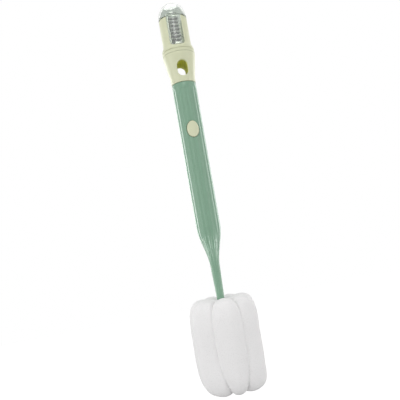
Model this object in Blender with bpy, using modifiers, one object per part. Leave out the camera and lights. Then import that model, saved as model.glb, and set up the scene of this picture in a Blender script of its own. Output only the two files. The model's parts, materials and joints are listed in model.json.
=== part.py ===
"""Sponge bottle brush with a capped gap brush and a straw brush kept in its handle.

The brush stands upright in metres, cap up. The origin is the centre of the hang hole,
heights run along +Z, and the push button faces -Y.
"""

import math

import bmesh
import bpy
from mathutils import Matrix, Vector

# Clearances
GAP = 0.0003
RUN_OVER = 0.002

# Collar with the hang hole
HOLE_WIDTH = 0.0088
HOLE_HEIGHT = 0.0124
COLLAR_ABOVE_HOLE = 0.0160
COLLAR_BELOW_HOLE = 0.0110
COLLAR_RADIUS = 0.0137
COLLAR_RIM = 0.0049
COLLAR_EDGE = 0.0005
COLLAR_WAIST_STEP = 0.00027
COLLAR_WAIST_HEIGHT = 0.0052
SPIGOT_HEIGHT = 0.0042
PLUG_TUBE_LENGTH = 0.0217
PLUG_TUBE_WALL = 0.0020
POCKET_FLOOR = 0.0022

# Handle
HANDLE_RADIUS = 0.0103
HANDLE_WALL = 0.0021
STRAIGHT_LENGTH = 0.1217
TAPER_LENGTH = 0.0338
NECK_LENGTH = 0.0317
NECK_TOP_RADIUS = 0.00415
NECK_END_RADIUS = 0.0031
TIP_RADIUS = 0.0026
TIP_LENGTH = 0.0300
TIP_CHAMFER = 0.0006
FLUTE_COUNT = 16
FLUTE_DEPTH = 0.0004
FLUTE_FADE = 0.0016
PLAIN_BAND = 0.0034
MOUTH_EDGE = 0.0004
BORE_DEPTH = 0.1187
BORE_END = 0.0070

# Push button and the leaf latch behind it
BUTTON_WIDTH = 0.0100
BUTTON_HEIGHT = 0.0136
BUTTON_PROUD = 0.0007
FLANGE_WIDTH = 0.0092
FLANGE_HEIGHT = 0.0164
FLANGE_BACK = 0.0058
LEAF_THICKNESS = 0.0005
LEAF_WIDTH = 0.0050
LEAF_FOOT = 0.0036
CATCH_BELOW_PLUG = 0.0020
CATCH_REACH = 0.0086
CATCH_RAMP = 0.0032

# Straw brush
WIRE_RADIUS = 0.0009
WIRE_SEAT = 0.0100
BRUSH_PLUG_DEPTH = 0.0140
BRUSH_FLANGE = 0.0045
BRISTLE_ZONE = 0.0500
BRISTLE_RADIUS = 0.0040
BRISTLE_ROWS = 17
BRISTLES_ROUND = 8
BRISTLE_BAND = 0.0004
BRISTLE_TAPER = 0.55
TIP_ROOM = 0.0050

# Gap brush under the cap
BASE_RADIUS = 0.0070
BASE_DEPTH = 0.0078
HEAD_WIDTH = 0.0086
HEAD_TOP = 0.0520
HEAD_TURN = 6.0
HEAD_THICKNESS = 0.0018
HEAD_BACK = 0.0022
FOOT_WIDTH = 0.0046
FOOT_REACH = 0.0054
FOOT_TOP = 0.0240
SLICE_THICKNESS = 0.0008
SLICE_MARGIN = 0.0004
TUFT_ROWS = 7
TUFT_COLUMNS = 3
TUFT_ROW_PITCH = 0.00294
TUFT_COLUMN_PITCH = 0.0026
TUFT_CELL = 0.0004
TUFT_CELLS = 4
TUFT_LENGTH = 0.0052
TUFT_SPLAY = 1.30
FIRST_TUFT_ROW = 0.02634

# Cap
CAP_BORE = 0.0106
CAP_RADIUS = 0.0119
CAP_SKIRT_RADIUS = 0.0136
CAP_SKIRT_RIM = 0.0006
CAP_SKIRT_HEIGHT = 0.0057
EAR_TOP = 0.0445
WINDOW_WIDTH = 0.0123
WINDOW_BOTTOM = 0.0193
WINDOW_FOOT_BEND = 0.0035
WINDOW_TURN = -2.8
DOME_WALL = 0.0012
DOME_CENTRE = 0.0463

# Sponge head
SPONGE_RADIUS = 0.0297
SPONGE_HEIGHT = 0.0830
SPONGE_OVERLAP = 0.0060
SPONGE_TOP_SQUARENESS = 5.0
SPONGE_BOTTOM_SQUARENESS = 5.2
LOBE_COUNT = 7
LOBE_TURN = -3.5
LOBE_FLATNESS = 0.5
GROOVE_DEPTH = 0.0026
GROOVE_END_DEPTH = 0.0048
GROOVE_DEEPENS_FROM = 0.45
GROOVE_DEEPENS_TO = 0.95
GROOVE_FADE = 0.0130
TOP_DIMPLE = 0.0045
BOTTOM_DIMPLE = 0.0080
SPONGE_BOW = 0.0005
CORE_WALL = 0.0016
BARB_COUNT = 5
BARB_REACH = 0.0015
BARB_PITCH = 0.0100
BARB_START = 0.0040
BARB_SLOPE = 0.0045
DISC_RADIUS = 0.0090
DISC_THICKNESS = 0.0018

# Facets
ROUND_STEPS = 48
DOME_STEPS = 40
SMALL_STEPS = 24
SPONGE_STEPS_PER_LOBE = 8

# Heights that follow from the sizes above
MOUTH_Z = -COLLAR_BELOW_HOLE - GAP
STRAIGHT_END_Z = MOUTH_Z - STRAIGHT_LENGTH
TAPER_END_Z = STRAIGHT_END_Z - TAPER_LENGTH
SHOULDER_Z = TAPER_END_Z - NECK_LENGTH
TIP_END_Z = SHOULDER_Z - TIP_LENGTH
BORE_RADIUS = HANDLE_RADIUS - HANDLE_WALL
BORE_FLOOR_Z = MOUTH_Z - BORE_DEPTH
PLUG_RADIUS = BORE_RADIUS - GAP
PLUG_TUBE_END_Z = -COLLAR_BELOW_HOLE - PLUG_TUBE_LENGTH
PLUG_POCKET_RADIUS = PLUG_RADIUS - PLUG_TUBE_WALL
FLANGE_TOP_Z = PLUG_TUBE_END_Z - GAP
FLANGE_END_Z = FLANGE_TOP_Z - BRUSH_FLANGE
LEAF_Y = -FLANGE_BACK + GAP + LEAF_THICKNESS / 2
CATCH_Z = FLANGE_END_Z - CATCH_BELOW_PLUG
BUTTON_Z = CATCH_Z - CATCH_RAMP - LEAF_THICKNESS - FLANGE_HEIGHT / 2
BRUSH_TIP_Z = BORE_FLOOR_Z + TIP_ROOM
BRISTLE_TOP_Z = BRUSH_TIP_Z + BRISTLE_ZONE
SPIGOT_TOP_Z = COLLAR_ABOVE_HOLE + SPIGOT_HEIGHT
BASE_FLOOR_Z = SPIGOT_TOP_Z - BASE_DEPTH
CAP_BOTTOM_Z = COLLAR_ABOVE_HOLE + GAP
LINER_RADIUS = CAP_BORE - GAP
SPONGE_TOP_Z = SHOULDER_Z + SPONGE_OVERLAP
CORE_TOP_Z = SHOULDER_Z - GAP
CORE_RADIUS = TIP_RADIUS + GAP + CORE_WALL
BARB_RADIUS = CORE_RADIUS + BARB_REACH


def smooth_step(share):
    share = min(max(share, 0.0), 1.0)
    return share * share * (3.0 - 2.0 * share)


def clear_scene():
    for obj in list(bpy.data.objects):
        bpy.data.objects.remove(obj, do_unlink=True)


def new_collection(name):
    collection = bpy.data.collections.new(name)
    bpy.context.scene.collection.children.link(collection)
    return collection


def linear(channel):
    channel = channel / 255.0
    if channel <= 0.04045:
        return channel / 12.92
    return ((channel + 0.055) / 1.055) ** 2.4


def plastic(name, colour, roughness, metallic=0.0, transmission=0.0):
    material = bpy.data.materials.new(name)
    material.use_nodes = True
    shader = material.node_tree.nodes["Principled BSDF"]
    rgb = [linear(channel) for channel in colour]
    shader.inputs["Base Color"].default_value = (*rgb, 1.0)
    shader.inputs["Roughness"].default_value = roughness
    shader.inputs["Metallic"].default_value = metallic
    shader.inputs["Transmission Weight"].default_value = transmission
    material.diffuse_color = (*rgb, 1.0)
    return material


def add_object(name, mesh, collection, material=None):
    obj = bpy.data.objects.new(name, mesh)
    collection.objects.link(obj)
    if material:
        mesh.materials.append(material)
    return obj


def settle(obj, sharp_angle=35.0):
    """Makes the modifiers part of the mesh, and shades it smooth up to its sharp edges."""
    graph = bpy.context.evaluated_depsgraph_get()
    mesh = bpy.data.meshes.new_from_object(obj.evaluated_get(graph))
    obj.modifiers.clear()
    obj.data = mesh
    mesh.shade_smooth()
    mesh.set_sharp_from_angle(angle=math.radians(sharp_angle))


def pivot(name, location, collection, parent=None):
    """An empty on a joint's axis, which carries the pieces that move with it."""
    empty = bpy.data.objects.new(name, None)
    empty.empty_display_size = 0.01
    collection.objects.link(empty)
    if parent:
        empty.parent = parent
        empty.matrix_parent_inverse = Matrix.Translation(parent.matrix_world.translation).inverted()
    empty.location = location
    bpy.context.view_layer.update()
    return empty


def carry(empty, pieces):
    for piece in pieces:
        piece.parent = empty
        piece.matrix_parent_inverse = empty.matrix_world.inverted()


def as_cutter(obj):
    obj.hide_render = True
    obj.display_type = "WIRE"
    return obj


def cut(obj, tool, operation="DIFFERENCE"):
    modifier = obj.modifiers.new(tool.name, "BOOLEAN")
    modifier.operation = operation
    modifier.object = tool
    modifier.solver = "EXACT"
    return modifier


def turned(name, profile, collection, material=None, steps=ROUND_STEPS, ring=False):
    """A profile of (radius, height) points, down the outer side, turned about Z."""
    mesh = bpy.data.meshes.new(name)
    points = [(radius, 0.0, height) for radius, height in profile]
    edges = [(i, i + 1) for i in range(len(points) - 1)]
    if ring:
        edges.append((len(points) - 1, 0))
    mesh.from_pydata(points, edges, [])
    obj = add_object(name, mesh, collection, material)
    screw = obj.modifiers.new("turn", "SCREW")
    screw.axis = "Z"
    screw.steps = steps
    screw.render_steps = steps
    screw.use_merge_vertices = True
    screw.merge_threshold = 0.00001
    screw.use_smooth_shade = True
    return obj


def loft(name, rings, collection, material=None, closed=False):
    """Rings of equal length joined in order, capped at both ends unless closed."""
    shape = bmesh.new()
    rows = [[shape.verts.new(point) for point in ring] for ring in rings]
    count = len(rows[0])
    pairs = list(zip(rows, rows[1:]))
    if closed:
        pairs.append((rows[-1], rows[0]))
    for upper, lower in pairs:
        for i in range(count):
            j = (i + 1) % count
            shape.faces.new((upper[i], lower[i], lower[j], upper[j]))
    if not closed:
        shape.faces.new(rows[0])
        shape.faces.new(list(reversed(rows[-1])))
    bmesh.ops.recalc_face_normals(shape, faces=shape.faces)
    mesh = bpy.data.meshes.new(name)
    shape.to_mesh(mesh)
    shape.free()
    return add_object(name, mesh, collection, material)


def outline_prism(name, points, thickness, collection, matrix):
    """A flat closed outline given depth, as a mesh placed by its matrix."""
    curve = bpy.data.curves.new(name, "CURVE")
    curve.dimensions = "2D"
    curve.fill_mode = "BOTH"
    curve.extrude = thickness / 2
    spline = curve.splines.new("POLY")
    spline.points.add(len(points) - 1)
    for point, (x, y) in zip(spline.points, points):
        point.co = (x, y, 0.0, 1.0)
    spline.use_cyclic_u = True
    guide = bpy.data.objects.new(name + "_outline", curve)
    collection.objects.link(guide)
    graph = bpy.context.evaluated_depsgraph_get()
    mesh = bpy.data.meshes.new_from_object(guide.evaluated_get(graph))
    bpy.data.objects.remove(guide)
    bpy.data.curves.remove(curve)
    shape = bmesh.new()
    shape.from_mesh(mesh)
    bmesh.ops.remove_doubles(shape, verts=shape.verts, dist=0.000001)
    bmesh.ops.recalc_face_normals(shape, faces=shape.faces)
    shape.to_mesh(mesh)
    shape.free()
    obj = add_object(name, mesh, collection)
    obj.matrix_world = matrix
    return obj


def arc_points(centre, radius, start, end, count):
    points = []
    for i in range(count + 1):
        angle = math.radians(start + (end - start) * i / count)
        points.append((centre[0] + radius * math.cos(angle), centre[1] + radius * math.sin(angle)))
    return points


def upright_slot(
    name, width, bottom, top, depth, middle_y, collection, square_top=False, foot_bend=None, turn=0.0,
):
    """A slot along Y until turned; its foot is round or has the given bends, its head is round or square."""
    radius = width / 2
    if foot_bend:
        points = arc_points((foot_bend - radius, bottom + foot_bend), foot_bend, 180, 270, 6)
        points += arc_points((radius - foot_bend, bottom + foot_bend), foot_bend, 270, 360, 6)
    else:
        points = arc_points((0.0, bottom + radius), radius, 180, 360, 12)
    if square_top:
        points += [(radius, top), (-radius, top)]
    else:
        points += arc_points((0.0, top - radius), radius, 0, 180, 12)
    facing = Matrix.Translation((0.0, middle_y, 0.0)) @ Matrix.Rotation(math.radians(90), 4, "X")
    turned_round = Matrix.Rotation(math.radians(turn), 4, "Z") @ facing
    return outline_prism(name, points, depth, collection, turned_round)


def box_between(name, low, high, collection):
    shape = bmesh.new()
    bmesh.ops.create_cube(shape, size=1.0)
    size = Vector(high) - Vector(low)
    bmesh.ops.scale(shape, vec=size, verts=shape.verts)
    mesh = bpy.data.meshes.new(name)
    shape.to_mesh(mesh)
    shape.free()
    obj = add_object(name, mesh, collection)
    obj.location = (Vector(high) + Vector(low)) / 2
    return obj


def oval_block(name, width, height, y_front, y_back, collection, steps=36):
    """An oval prism whose ends face -Y and +Y."""
    shape = bmesh.new()
    bmesh.ops.create_cone(
        shape, cap_ends=True, segments=steps, radius1=0.5, radius2=0.5, depth=1.0,
        matrix=Matrix.Rotation(math.radians(90), 4, "X"),
    )
    bmesh.ops.scale(shape, vec=(width, y_back - y_front, height), verts=shape.verts)
    mesh = bpy.data.meshes.new(name)
    shape.to_mesh(mesh)
    shape.free()
    obj = add_object(name, mesh, collection)
    obj.location = (0.0, (y_front + y_back) / 2, 0.0)
    return obj


def collar_profile():
    """Outer side of the collar and of the plug tube below it, from the spigot down."""
    spigot = LINER_RADIUS
    waist = HANDLE_RADIUS + COLLAR_WAIST_STEP
    waist_z = -COLLAR_BELOW_HOLE + COLLAR_WAIST_HEIGHT
    cone_z = COLLAR_ABOVE_HOLE - COLLAR_RIM
    profile = [
        (spigot - COLLAR_EDGE, SPIGOT_TOP_Z),
        (spigot, SPIGOT_TOP_Z - COLLAR_EDGE),
        (spigot, COLLAR_ABOVE_HOLE),
        (COLLAR_RADIUS - COLLAR_EDGE, COLLAR_ABOVE_HOLE),
        (COLLAR_RADIUS, COLLAR_ABOVE_HOLE - COLLAR_EDGE),
        (COLLAR_RADIUS, cone_z),
    ]
    for i in range(1, 5):
        share = i / 4
        radius = COLLAR_RADIUS + (waist - COLLAR_RADIUS) * share
        profile.append((radius, cone_z + (waist_z - cone_z) * share))
    profile += [
        (HANDLE_RADIUS + COLLAR_WAIST_STEP / 4, (waist_z - COLLAR_BELOW_HOLE) / 2),
        (HANDLE_RADIUS, -COLLAR_BELOW_HOLE),
        (PLUG_RADIUS, -COLLAR_BELOW_HOLE),
        (PLUG_RADIUS, PLUG_TUBE_END_Z),
        (PLUG_POCKET_RADIUS, PLUG_TUBE_END_Z),
        (PLUG_POCKET_RADIUS, -COLLAR_BELOW_HOLE - POCKET_FLOOR),
        (0.0, -COLLAR_BELOW_HOLE - POCKET_FLOOR),
    ]
    base = [
        (0.0, BASE_FLOOR_Z - GAP),
        (BASE_RADIUS + GAP, BASE_FLOOR_Z - GAP),
        (BASE_RADIUS + GAP, SPIGOT_TOP_Z),
    ]
    return base + profile


def make_collar(parts, cutters, material):
    collar = turned("collar", collar_profile(), parts, material)
    hole = upright_slot(
        "hang_hole_cutter", HOLE_WIDTH, -HOLE_HEIGHT / 2, HOLE_HEIGHT / 2,
        2 * COLLAR_RADIUS + 2 * RUN_OVER, 0.0, cutters,
    )
    cut(collar, as_cutter(hole))
    return collar


def make_brush_plug(parts, cutters, material):
    """The stopper in the collar's tube that grips the straw brush and the latch."""
    radius = PLUG_POCKET_RADIUS - GAP
    top = PLUG_TUBE_END_Z + BRUSH_PLUG_DEPTH
    seat = WIRE_RADIUS + GAP
    profile = [
        (0.0, top),
        (radius - COLLAR_EDGE, top),
        (radius, top - COLLAR_EDGE),
        (radius, FLANGE_TOP_Z),
        (PLUG_RADIUS, FLANGE_TOP_Z),
        (PLUG_RADIUS, FLANGE_END_Z),
        (seat, FLANGE_END_Z),
        (seat, FLANGE_END_Z + WIRE_SEAT + GAP),
        (0.0, FLANGE_END_Z + WIRE_SEAT + GAP),
    ]
    plug = turned("brush_plug", profile, parts, material, steps=SMALL_STEPS)
    half_slot = LEAF_THICKNESS / 2 + GAP
    slot = box_between(
        "leaf_slot_cutter",
        (-LEAF_WIDTH / 2 - GAP, LEAF_Y - half_slot, FLANGE_END_Z - RUN_OVER),
        (LEAF_WIDTH / 2 + GAP, LEAF_Y + half_slot, FLANGE_END_Z + LEAF_FOOT + GAP),
        cutters,
    )
    cut(plug, as_cutter(slot))
    return plug


def make_latch(parts, material):
    """A bent steel leaf: its foot is in the plug, its step is behind the handle's notch."""
    end_z = BUTTON_Z - BUTTON_HEIGHT / 2
    reach_y = -CATCH_REACH + LEAF_THICKNESS / 2
    path = [
        (LEAF_Y, FLANGE_END_Z + LEAF_FOOT),
        (LEAF_Y, CATCH_Z),
        (reach_y, CATCH_Z),
        (LEAF_Y, CATCH_Z - CATCH_RAMP),
        (LEAF_Y, end_z),
    ]
    mesh = bpy.data.meshes.new("latch_spring")
    shape = bmesh.new()
    rows = []
    for y, z in path:
        left = shape.verts.new((-LEAF_WIDTH / 2, y, z))
        right = shape.verts.new((LEAF_WIDTH / 2, y, z))
        rows.append((left, right))
    for upper, lower in zip(rows, rows[1:]):
        shape.faces.new((upper[0], lower[0], lower[1], upper[1]))
    shape.to_mesh(mesh)
    shape.free()
    leaf = add_object("latch_spring", mesh, parts, material)
    wall = leaf.modifiers.new("thickness", "SOLIDIFY")
    wall.thickness = LEAF_THICKNESS
    wall.offset = 0.0
    return leaf


def make_straw_wire(parts, material):
    top = FLANGE_END_Z + WIRE_SEAT
    end = BRISTLE_TOP_Z + GAP
    profile = [(0.0, top), (WIRE_RADIUS, top), (WIRE_RADIUS, end), (0.0, end)]
    return turned("straw_brush_wire", profile, parts, material, steps=12)


def ring_at(radius, height, count, turn=0.0):
    points = []
    for i in range(count):
        angle = turn + 2 * math.pi * i / count
        points.append((radius * math.cos(angle), radius * math.sin(angle), height))
    return points


def grow_strands(obj, faces_of, move):
    """Draws each chosen face out to a strand, so that all are one body with the backing."""
    shape = bmesh.new()
    shape.from_mesh(obj.data)
    shape.faces.ensure_lookup_table()
    chosen = [face for face in shape.faces if faces_of(face)]
    grown = bmesh.ops.extrude_discrete_faces(shape, faces=chosen)["faces"]
    for face in grown:
        move(face)
    count = len(grown)
    shape.to_mesh(obj.data)
    shape.free()
    return count


def make_straw_bristles(parts, material):
    """Rows of strands round the lower end of the wire, each row turned from the last."""
    sides = 2 * BRISTLES_ROUND
    pitch = BRISTLE_ZONE / BRISTLE_ROWS
    half_band = BRISTLE_BAND / 2
    step = math.pi / BRISTLES_ROUND
    rings = []
    for row in range(BRISTLE_ROWS):
        middle = BRISTLE_TOP_Z - pitch * (row + 0.5)
        turn = row * step
        if row == 0:
            rings.append(ring_at(WIRE_RADIUS, BRISTLE_TOP_Z, sides, turn))
        rings.append(ring_at(WIRE_RADIUS, middle + half_band, sides, turn))
        rings.append(ring_at(WIRE_RADIUS, middle - half_band, sides, turn))
    rings.append(ring_at(WIRE_RADIUS, BRUSH_TIP_Z, sides, turn))
    brush = loft("straw_brush_bristles", rings, parts, material)

    def is_root(face):
        if abs(face.normal.z) > 0.5:
            return False
        centre = face.calc_center_median()
        row = round((BRISTLE_TOP_Z - centre.z) / pitch - 0.5)
        if abs(BRISTLE_TOP_Z - pitch * (row + 0.5) - centre.z) > half_band:
            return False
        place = (math.atan2(centre.y, centre.x) - row * step) / step
        return round(place - 0.5) % 2 == 0

    def draw_out(face):
        centre = face.calc_center_median()
        outward = Vector((centre.x, centre.y, 0.0)).normalized()
        for vertex in face.verts:
            slim = centre + (vertex.co - centre) * BRISTLE_TAPER
            vertex.co = slim + outward * (BRISTLE_RADIUS - WIRE_RADIUS)

    return brush, grow_strands(brush, is_root, draw_out)


def make_gap_head(parts, cutters, material):
    """The round base in the collar's pocket, with the flat head and its stout foot turned on it."""
    profile = [
        (0.0, SPIGOT_TOP_Z),
        (BASE_RADIUS, SPIGOT_TOP_Z),
        (BASE_RADIUS, BASE_FLOOR_Z),
        (0.0, BASE_FLOOR_Z),
    ]
    head = turned("gap_brush_head", profile, parts, material, steps=SMALL_STEPS)
    blade = upright_slot(
        "gap_brush_blade", HEAD_WIDTH, BASE_FLOOR_Z + GAP, HEAD_TOP, HEAD_THICKNESS,
        HEAD_BACK - HEAD_THICKNESS / 2, cutters, turn=HEAD_TURN,
    )
    cut(head, as_cutter(blade), "UNION")
    foot = box_between(
        "gap_brush_foot",
        (-FOOT_WIDTH / 2, -FOOT_REACH, BASE_FLOOR_Z + GAP),
        (FOOT_WIDTH / 2, HEAD_BACK - HEAD_THICKNESS / 2, FOOT_TOP),
        cutters,
    )
    turn = Matrix.Rotation(math.radians(HEAD_TURN), 4, "Z")
    foot.matrix_world = turn @ Matrix.Translation(foot.location)
    cut(head, as_cutter(foot), "UNION")
    return head


def tuft_lines(count, pitch, first, low, high):
    """Grid lines along one direction: the cells of each tuft, and the plain lands between."""
    lines = [low]
    cell = TUFT_CELL
    for i in range(count):
        start = first + i * pitch - TUFT_CELLS * cell / 2
        lines += [start + k * cell for k in range(TUFT_CELLS + 1)]
    lines.append(high)
    return lines


def make_gap_bristles(parts, material):
    """A thin slice of the head with its tufts: each tuft is the dark squares of a chessboard."""
    half = HEAD_WIDTH / 2 - SLICE_MARGIN
    front = HEAD_BACK - HEAD_THICKNESS - GAP - SLICE_THICKNESS
    back = front + SLICE_THICKNESS
    last_row = FIRST_TUFT_ROW + (TUFT_ROWS - 1) * TUFT_ROW_PITCH
    low = FIRST_TUFT_ROW - TUFT_ROW_PITCH / 2
    high = last_row + TUFT_ROW_PITCH / 2
    first_column = -(TUFT_COLUMNS - 1) * TUFT_COLUMN_PITCH / 2
    across = tuft_lines(TUFT_COLUMNS, TUFT_COLUMN_PITCH, first_column, -half, half)
    up = tuft_lines(TUFT_ROWS, TUFT_ROW_PITCH, FIRST_TUFT_ROW, low, high)

    shape = bmesh.new()
    grid = [[shape.verts.new((x, front, z)) for x in across] for z in up]
    roots = []
    for row in range(len(up) - 1):
        for column in range(len(across) - 1):
            face = shape.faces.new((
                grid[row][column], grid[row][column + 1],
                grid[row + 1][column + 1], grid[row + 1][column],
            ))
            row_cell = (row - 1) % (TUFT_CELLS + 1)
            column_cell = (column - 1) % (TUFT_CELLS + 1)
            inside = 0 < row < len(up) - 2 and 0 < column < len(across) - 2
            if inside and row_cell < TUFT_CELLS and column_cell < TUFT_CELLS:
                if (row_cell + column_cell) % 2 == 0:
                    roots.append(face)
    rim = [edge for edge in shape.edges if edge.is_boundary]
    sides = bmesh.ops.extrude_edge_only(shape, edges=rim)["geom"]
    rear = [item for item in sides if isinstance(item, bmesh.types.BMVert)]
    for vertex in rear:
        vertex.co.y = back
    rear_edges = [
        edge for edge in sides
        if isinstance(edge, bmesh.types.BMEdge) and all(vertex in rear for vertex in edge.verts)
    ]
    bmesh.ops.contextual_create(shape, geom=rear_edges)

    strands = bmesh.ops.extrude_discrete_faces(shape, faces=roots)["faces"]
    for face in strands:
        centre = face.calc_center_median()
        column = round((centre.x - first_column) / TUFT_COLUMN_PITCH)
        row = round((centre.z - FIRST_TUFT_ROW) / TUFT_ROW_PITCH)
        tuft = Vector((
            first_column + column * TUFT_COLUMN_PITCH, front,
            FIRST_TUFT_ROW + row * TUFT_ROW_PITCH,
        ))
        shift = (centre - tuft) * (TUFT_SPLAY - 1.0)
        shift.y = -TUFT_LENGTH
        for vertex in face.verts:
            vertex.co = centre + (vertex.co - centre) * BRISTLE_TAPER + shift
    count = len(strands)
    turn = Matrix.Rotation(math.radians(HEAD_TURN), 3, "Z")
    bmesh.ops.rotate(shape, cent=(0.0, 0.0, 0.0), matrix=turn, verts=shape.verts)
    bmesh.ops.recalc_face_normals(shape, faces=shape.faces)
    mesh = bpy.data.meshes.new("gap_brush_bristles")
    shape.to_mesh(mesh)
    shape.free()
    return add_object("gap_brush_bristles", mesh, parts, material), count


def make_cap_sleeve(parts, cutters, material):
    rim_z = CAP_BOTTOM_Z + CAP_SKIRT_RIM
    profile = [(CAP_BORE, EAR_TOP), (CAP_RADIUS, EAR_TOP)]
    steps = 6
    for i in range(steps + 1):
        share = i / steps
        height = CAP_BOTTOM_Z + CAP_SKIRT_HEIGHT + (rim_z - CAP_BOTTOM_Z - CAP_SKIRT_HEIGHT) * share
        flare = smooth_step(share) * (CAP_SKIRT_RADIUS - CAP_RADIUS)
        profile.append((CAP_RADIUS + flare, height))
    profile += [
        (CAP_SKIRT_RADIUS, CAP_BOTTOM_Z + COLLAR_EDGE),
        (CAP_SKIRT_RADIUS - COLLAR_EDGE, CAP_BOTTOM_Z),
        (CAP_BORE, CAP_BOTTOM_Z),
    ]
    sleeve = turned("cap_sleeve", profile, parts, material, ring=True)
    window = upright_slot(
        "cap_window_cutter", WINDOW_WIDTH, WINDOW_BOTTOM, EAR_TOP + RUN_OVER,
        2 * CAP_SKIRT_RADIUS + 2 * RUN_OVER, 0.0, cutters,
        square_top=True, foot_bend=WINDOW_FOOT_BEND, turn=WINDOW_TURN,
    )
    cut(sleeve, as_cutter(window))
    return sleeve


def make_cap_dome(parts, material):
    """The clear liner: a tube in the sleeve, a shoulder over the ears and a round top."""
    inner = LINER_RADIUS - DOME_WALL
    inner_dome = CAP_RADIUS - DOME_WALL
    foot = SPIGOT_TOP_Z + GAP
    shoulder = EAR_TOP + GAP
    outer_arc = arc_points((0.0, DOME_CENTRE), CAP_RADIUS, 90, 0, 7)
    inner_arc = arc_points((0.0, DOME_CENTRE), inner_dome, 0, 90, 6)
    profile = [(0.0, outer_arc[0][1])] + outer_arc[1:]
    profile += [
        (CAP_RADIUS, shoulder),
        (LINER_RADIUS, shoulder),
        (LINER_RADIUS, foot),
        (inner, foot),
        (inner, shoulder),
    ]
    profile += inner_arc[:-1]
    profile.append((0.0, inner_arc[-1][1]))
    return turned("cap_dome", profile, parts, material, steps=DOME_STEPS)


def handle_radius_at(height):
    if height >= STRAIGHT_END_Z:
        return HANDLE_RADIUS
    if height >= TAPER_END_Z:
        share = smooth_step((STRAIGHT_END_Z - height) / TAPER_LENGTH)
        return HANDLE_RADIUS + (NECK_TOP_RADIUS - HANDLE_RADIUS) * share
    share = (TAPER_END_Z - height) / NECK_LENGTH
    return NECK_TOP_RADIUS + (NECK_END_RADIUS - NECK_TOP_RADIUS) * share


def fluted_ring(radius, height, depth):
    """A ring whose radius dips by the flute depth, with one dip facing -Y."""
    points = []
    count = 4 * FLUTE_COUNT
    for i in range(count):
        angle = -math.pi / 2 + 2 * math.pi * i / count
        dip = depth * (0.5 + 0.5 * math.cos(FLUTE_COUNT * (angle + math.pi / 2)))
        reach = radius - dip
        points.append((reach * math.cos(angle), reach * math.sin(angle), height))
    return points


def make_handle(parts, cutters, material):
    """Fluted grip, taper, neck and push-on tip as one moulding, hollow down to its bore floor."""
    fade_start = MOUTH_Z - PLAIN_BAND
    rings = [
        fluted_ring(HANDLE_RADIUS - MOUTH_EDGE, MOUTH_Z, 0.0),
        fluted_ring(HANDLE_RADIUS, MOUTH_Z - MOUTH_EDGE, 0.0),
        fluted_ring(HANDLE_RADIUS, fade_start, 0.0),
        fluted_ring(HANDLE_RADIUS, fade_start - FLUTE_FADE / 2, FLUTE_DEPTH * 3 / 4),
        fluted_ring(HANDLE_RADIUS, fade_start - FLUTE_FADE, FLUTE_DEPTH),
    ]
    taper_steps = 8
    heights = [STRAIGHT_END_Z - TAPER_LENGTH * i / taper_steps for i in range(taper_steps + 1)]
    heights.append(SHOULDER_Z)
    for height in heights:
        radius = handle_radius_at(height)
        rings.append(fluted_ring(radius, height, FLUTE_DEPTH * radius / HANDLE_RADIUS))
    rings += [
        fluted_ring(TIP_RADIUS, SHOULDER_Z, 0.0),
        fluted_ring(TIP_RADIUS, TIP_END_Z + TIP_CHAMFER, 0.0),
        fluted_ring(TIP_RADIUS - TIP_CHAMFER, TIP_END_Z, 0.0),
    ]
    handle = loft("handle_shell", rings, parts, material)
    bore_profile = [(0.0, MOUTH_Z + RUN_OVER), (BORE_RADIUS, MOUTH_Z + RUN_OVER)]
    bore_steps = 4
    for i in range(bore_steps):
        swing = math.radians(90 * i / bore_steps)
        bore_profile.append((BORE_RADIUS * math.cos(swing), BORE_FLOOR_Z - BORE_END * math.sin(swing)))
    bore_profile.append((0.0, BORE_FLOOR_Z - BORE_END))
    bore = turned("handle_bore_cutter", bore_profile, cutters)
    cut(handle, as_cutter(bore))
    window = oval_block(
        "button_window_cutter", BUTTON_WIDTH + 2 * GAP, BUTTON_HEIGHT + 2 * GAP,
        -HANDLE_RADIUS - RUN_OVER, -BORE_RADIUS / 2, cutters,
    )
    window.location.z = BUTTON_Z
    cut(handle, as_cutter(window))
    notch = box_between(
        "latch_notch_cutter",
        (-LEAF_WIDTH / 2 - GAP, -CATCH_REACH - GAP, CATCH_Z - CATCH_RAMP),
        (LEAF_WIDTH / 2 + GAP, -BORE_RADIUS / 2, CATCH_Z + LEAF_THICKNESS / 2 + GAP),
        cutters,
    )
    cut(handle, as_cutter(notch))
    return handle


def make_button(parts, cutters, material):
    """An oval button crowned to the handle, kept in by a flange that lies behind the wall."""
    crown = HANDLE_RADIUS + BUTTON_PROUD
    button = oval_block(
        "release_button", BUTTON_WIDTH, BUTTON_HEIGHT, -crown - RUN_OVER, -FLANGE_BACK, parts,
    )
    button.data.materials.append(material)
    button.location.z = BUTTON_Z
    around = turned(
        "button_crown_cutter",
        [
            (0.0, BUTTON_Z + BUTTON_HEIGHT), (crown, BUTTON_Z + BUTTON_HEIGHT),
            (crown, BUTTON_Z - BUTTON_HEIGHT), (0.0, BUTTON_Z - BUTTON_HEIGHT),
        ],
        cutters, steps=96,
    )
    cut(button, as_cutter(around), "INTERSECT")
    flange = upright_slot(
        "button_flange", FLANGE_WIDTH, BUTTON_Z - FLANGE_HEIGHT / 2, BUTTON_Z + FLANGE_HEIGHT / 2,
        BORE_RADIUS + RUN_OVER - FLANGE_BACK, -(BORE_RADIUS + RUN_OVER + FLANGE_BACK) / 2, cutters,
    )
    inside = turned(
        "flange_crown_cutter",
        [
            (0.0, BUTTON_Z + FLANGE_HEIGHT), (PLUG_RADIUS, BUTTON_Z + FLANGE_HEIGHT),
            (PLUG_RADIUS, BUTTON_Z - FLANGE_HEIGHT), (0.0, BUTTON_Z - FLANGE_HEIGHT),
        ],
        cutters, steps=96,
    )
    as_cutter(inside)
    cut(flange, inside, "INTERSECT")
    cut(button, as_cutter(flange), "UNION")
    return button


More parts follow.
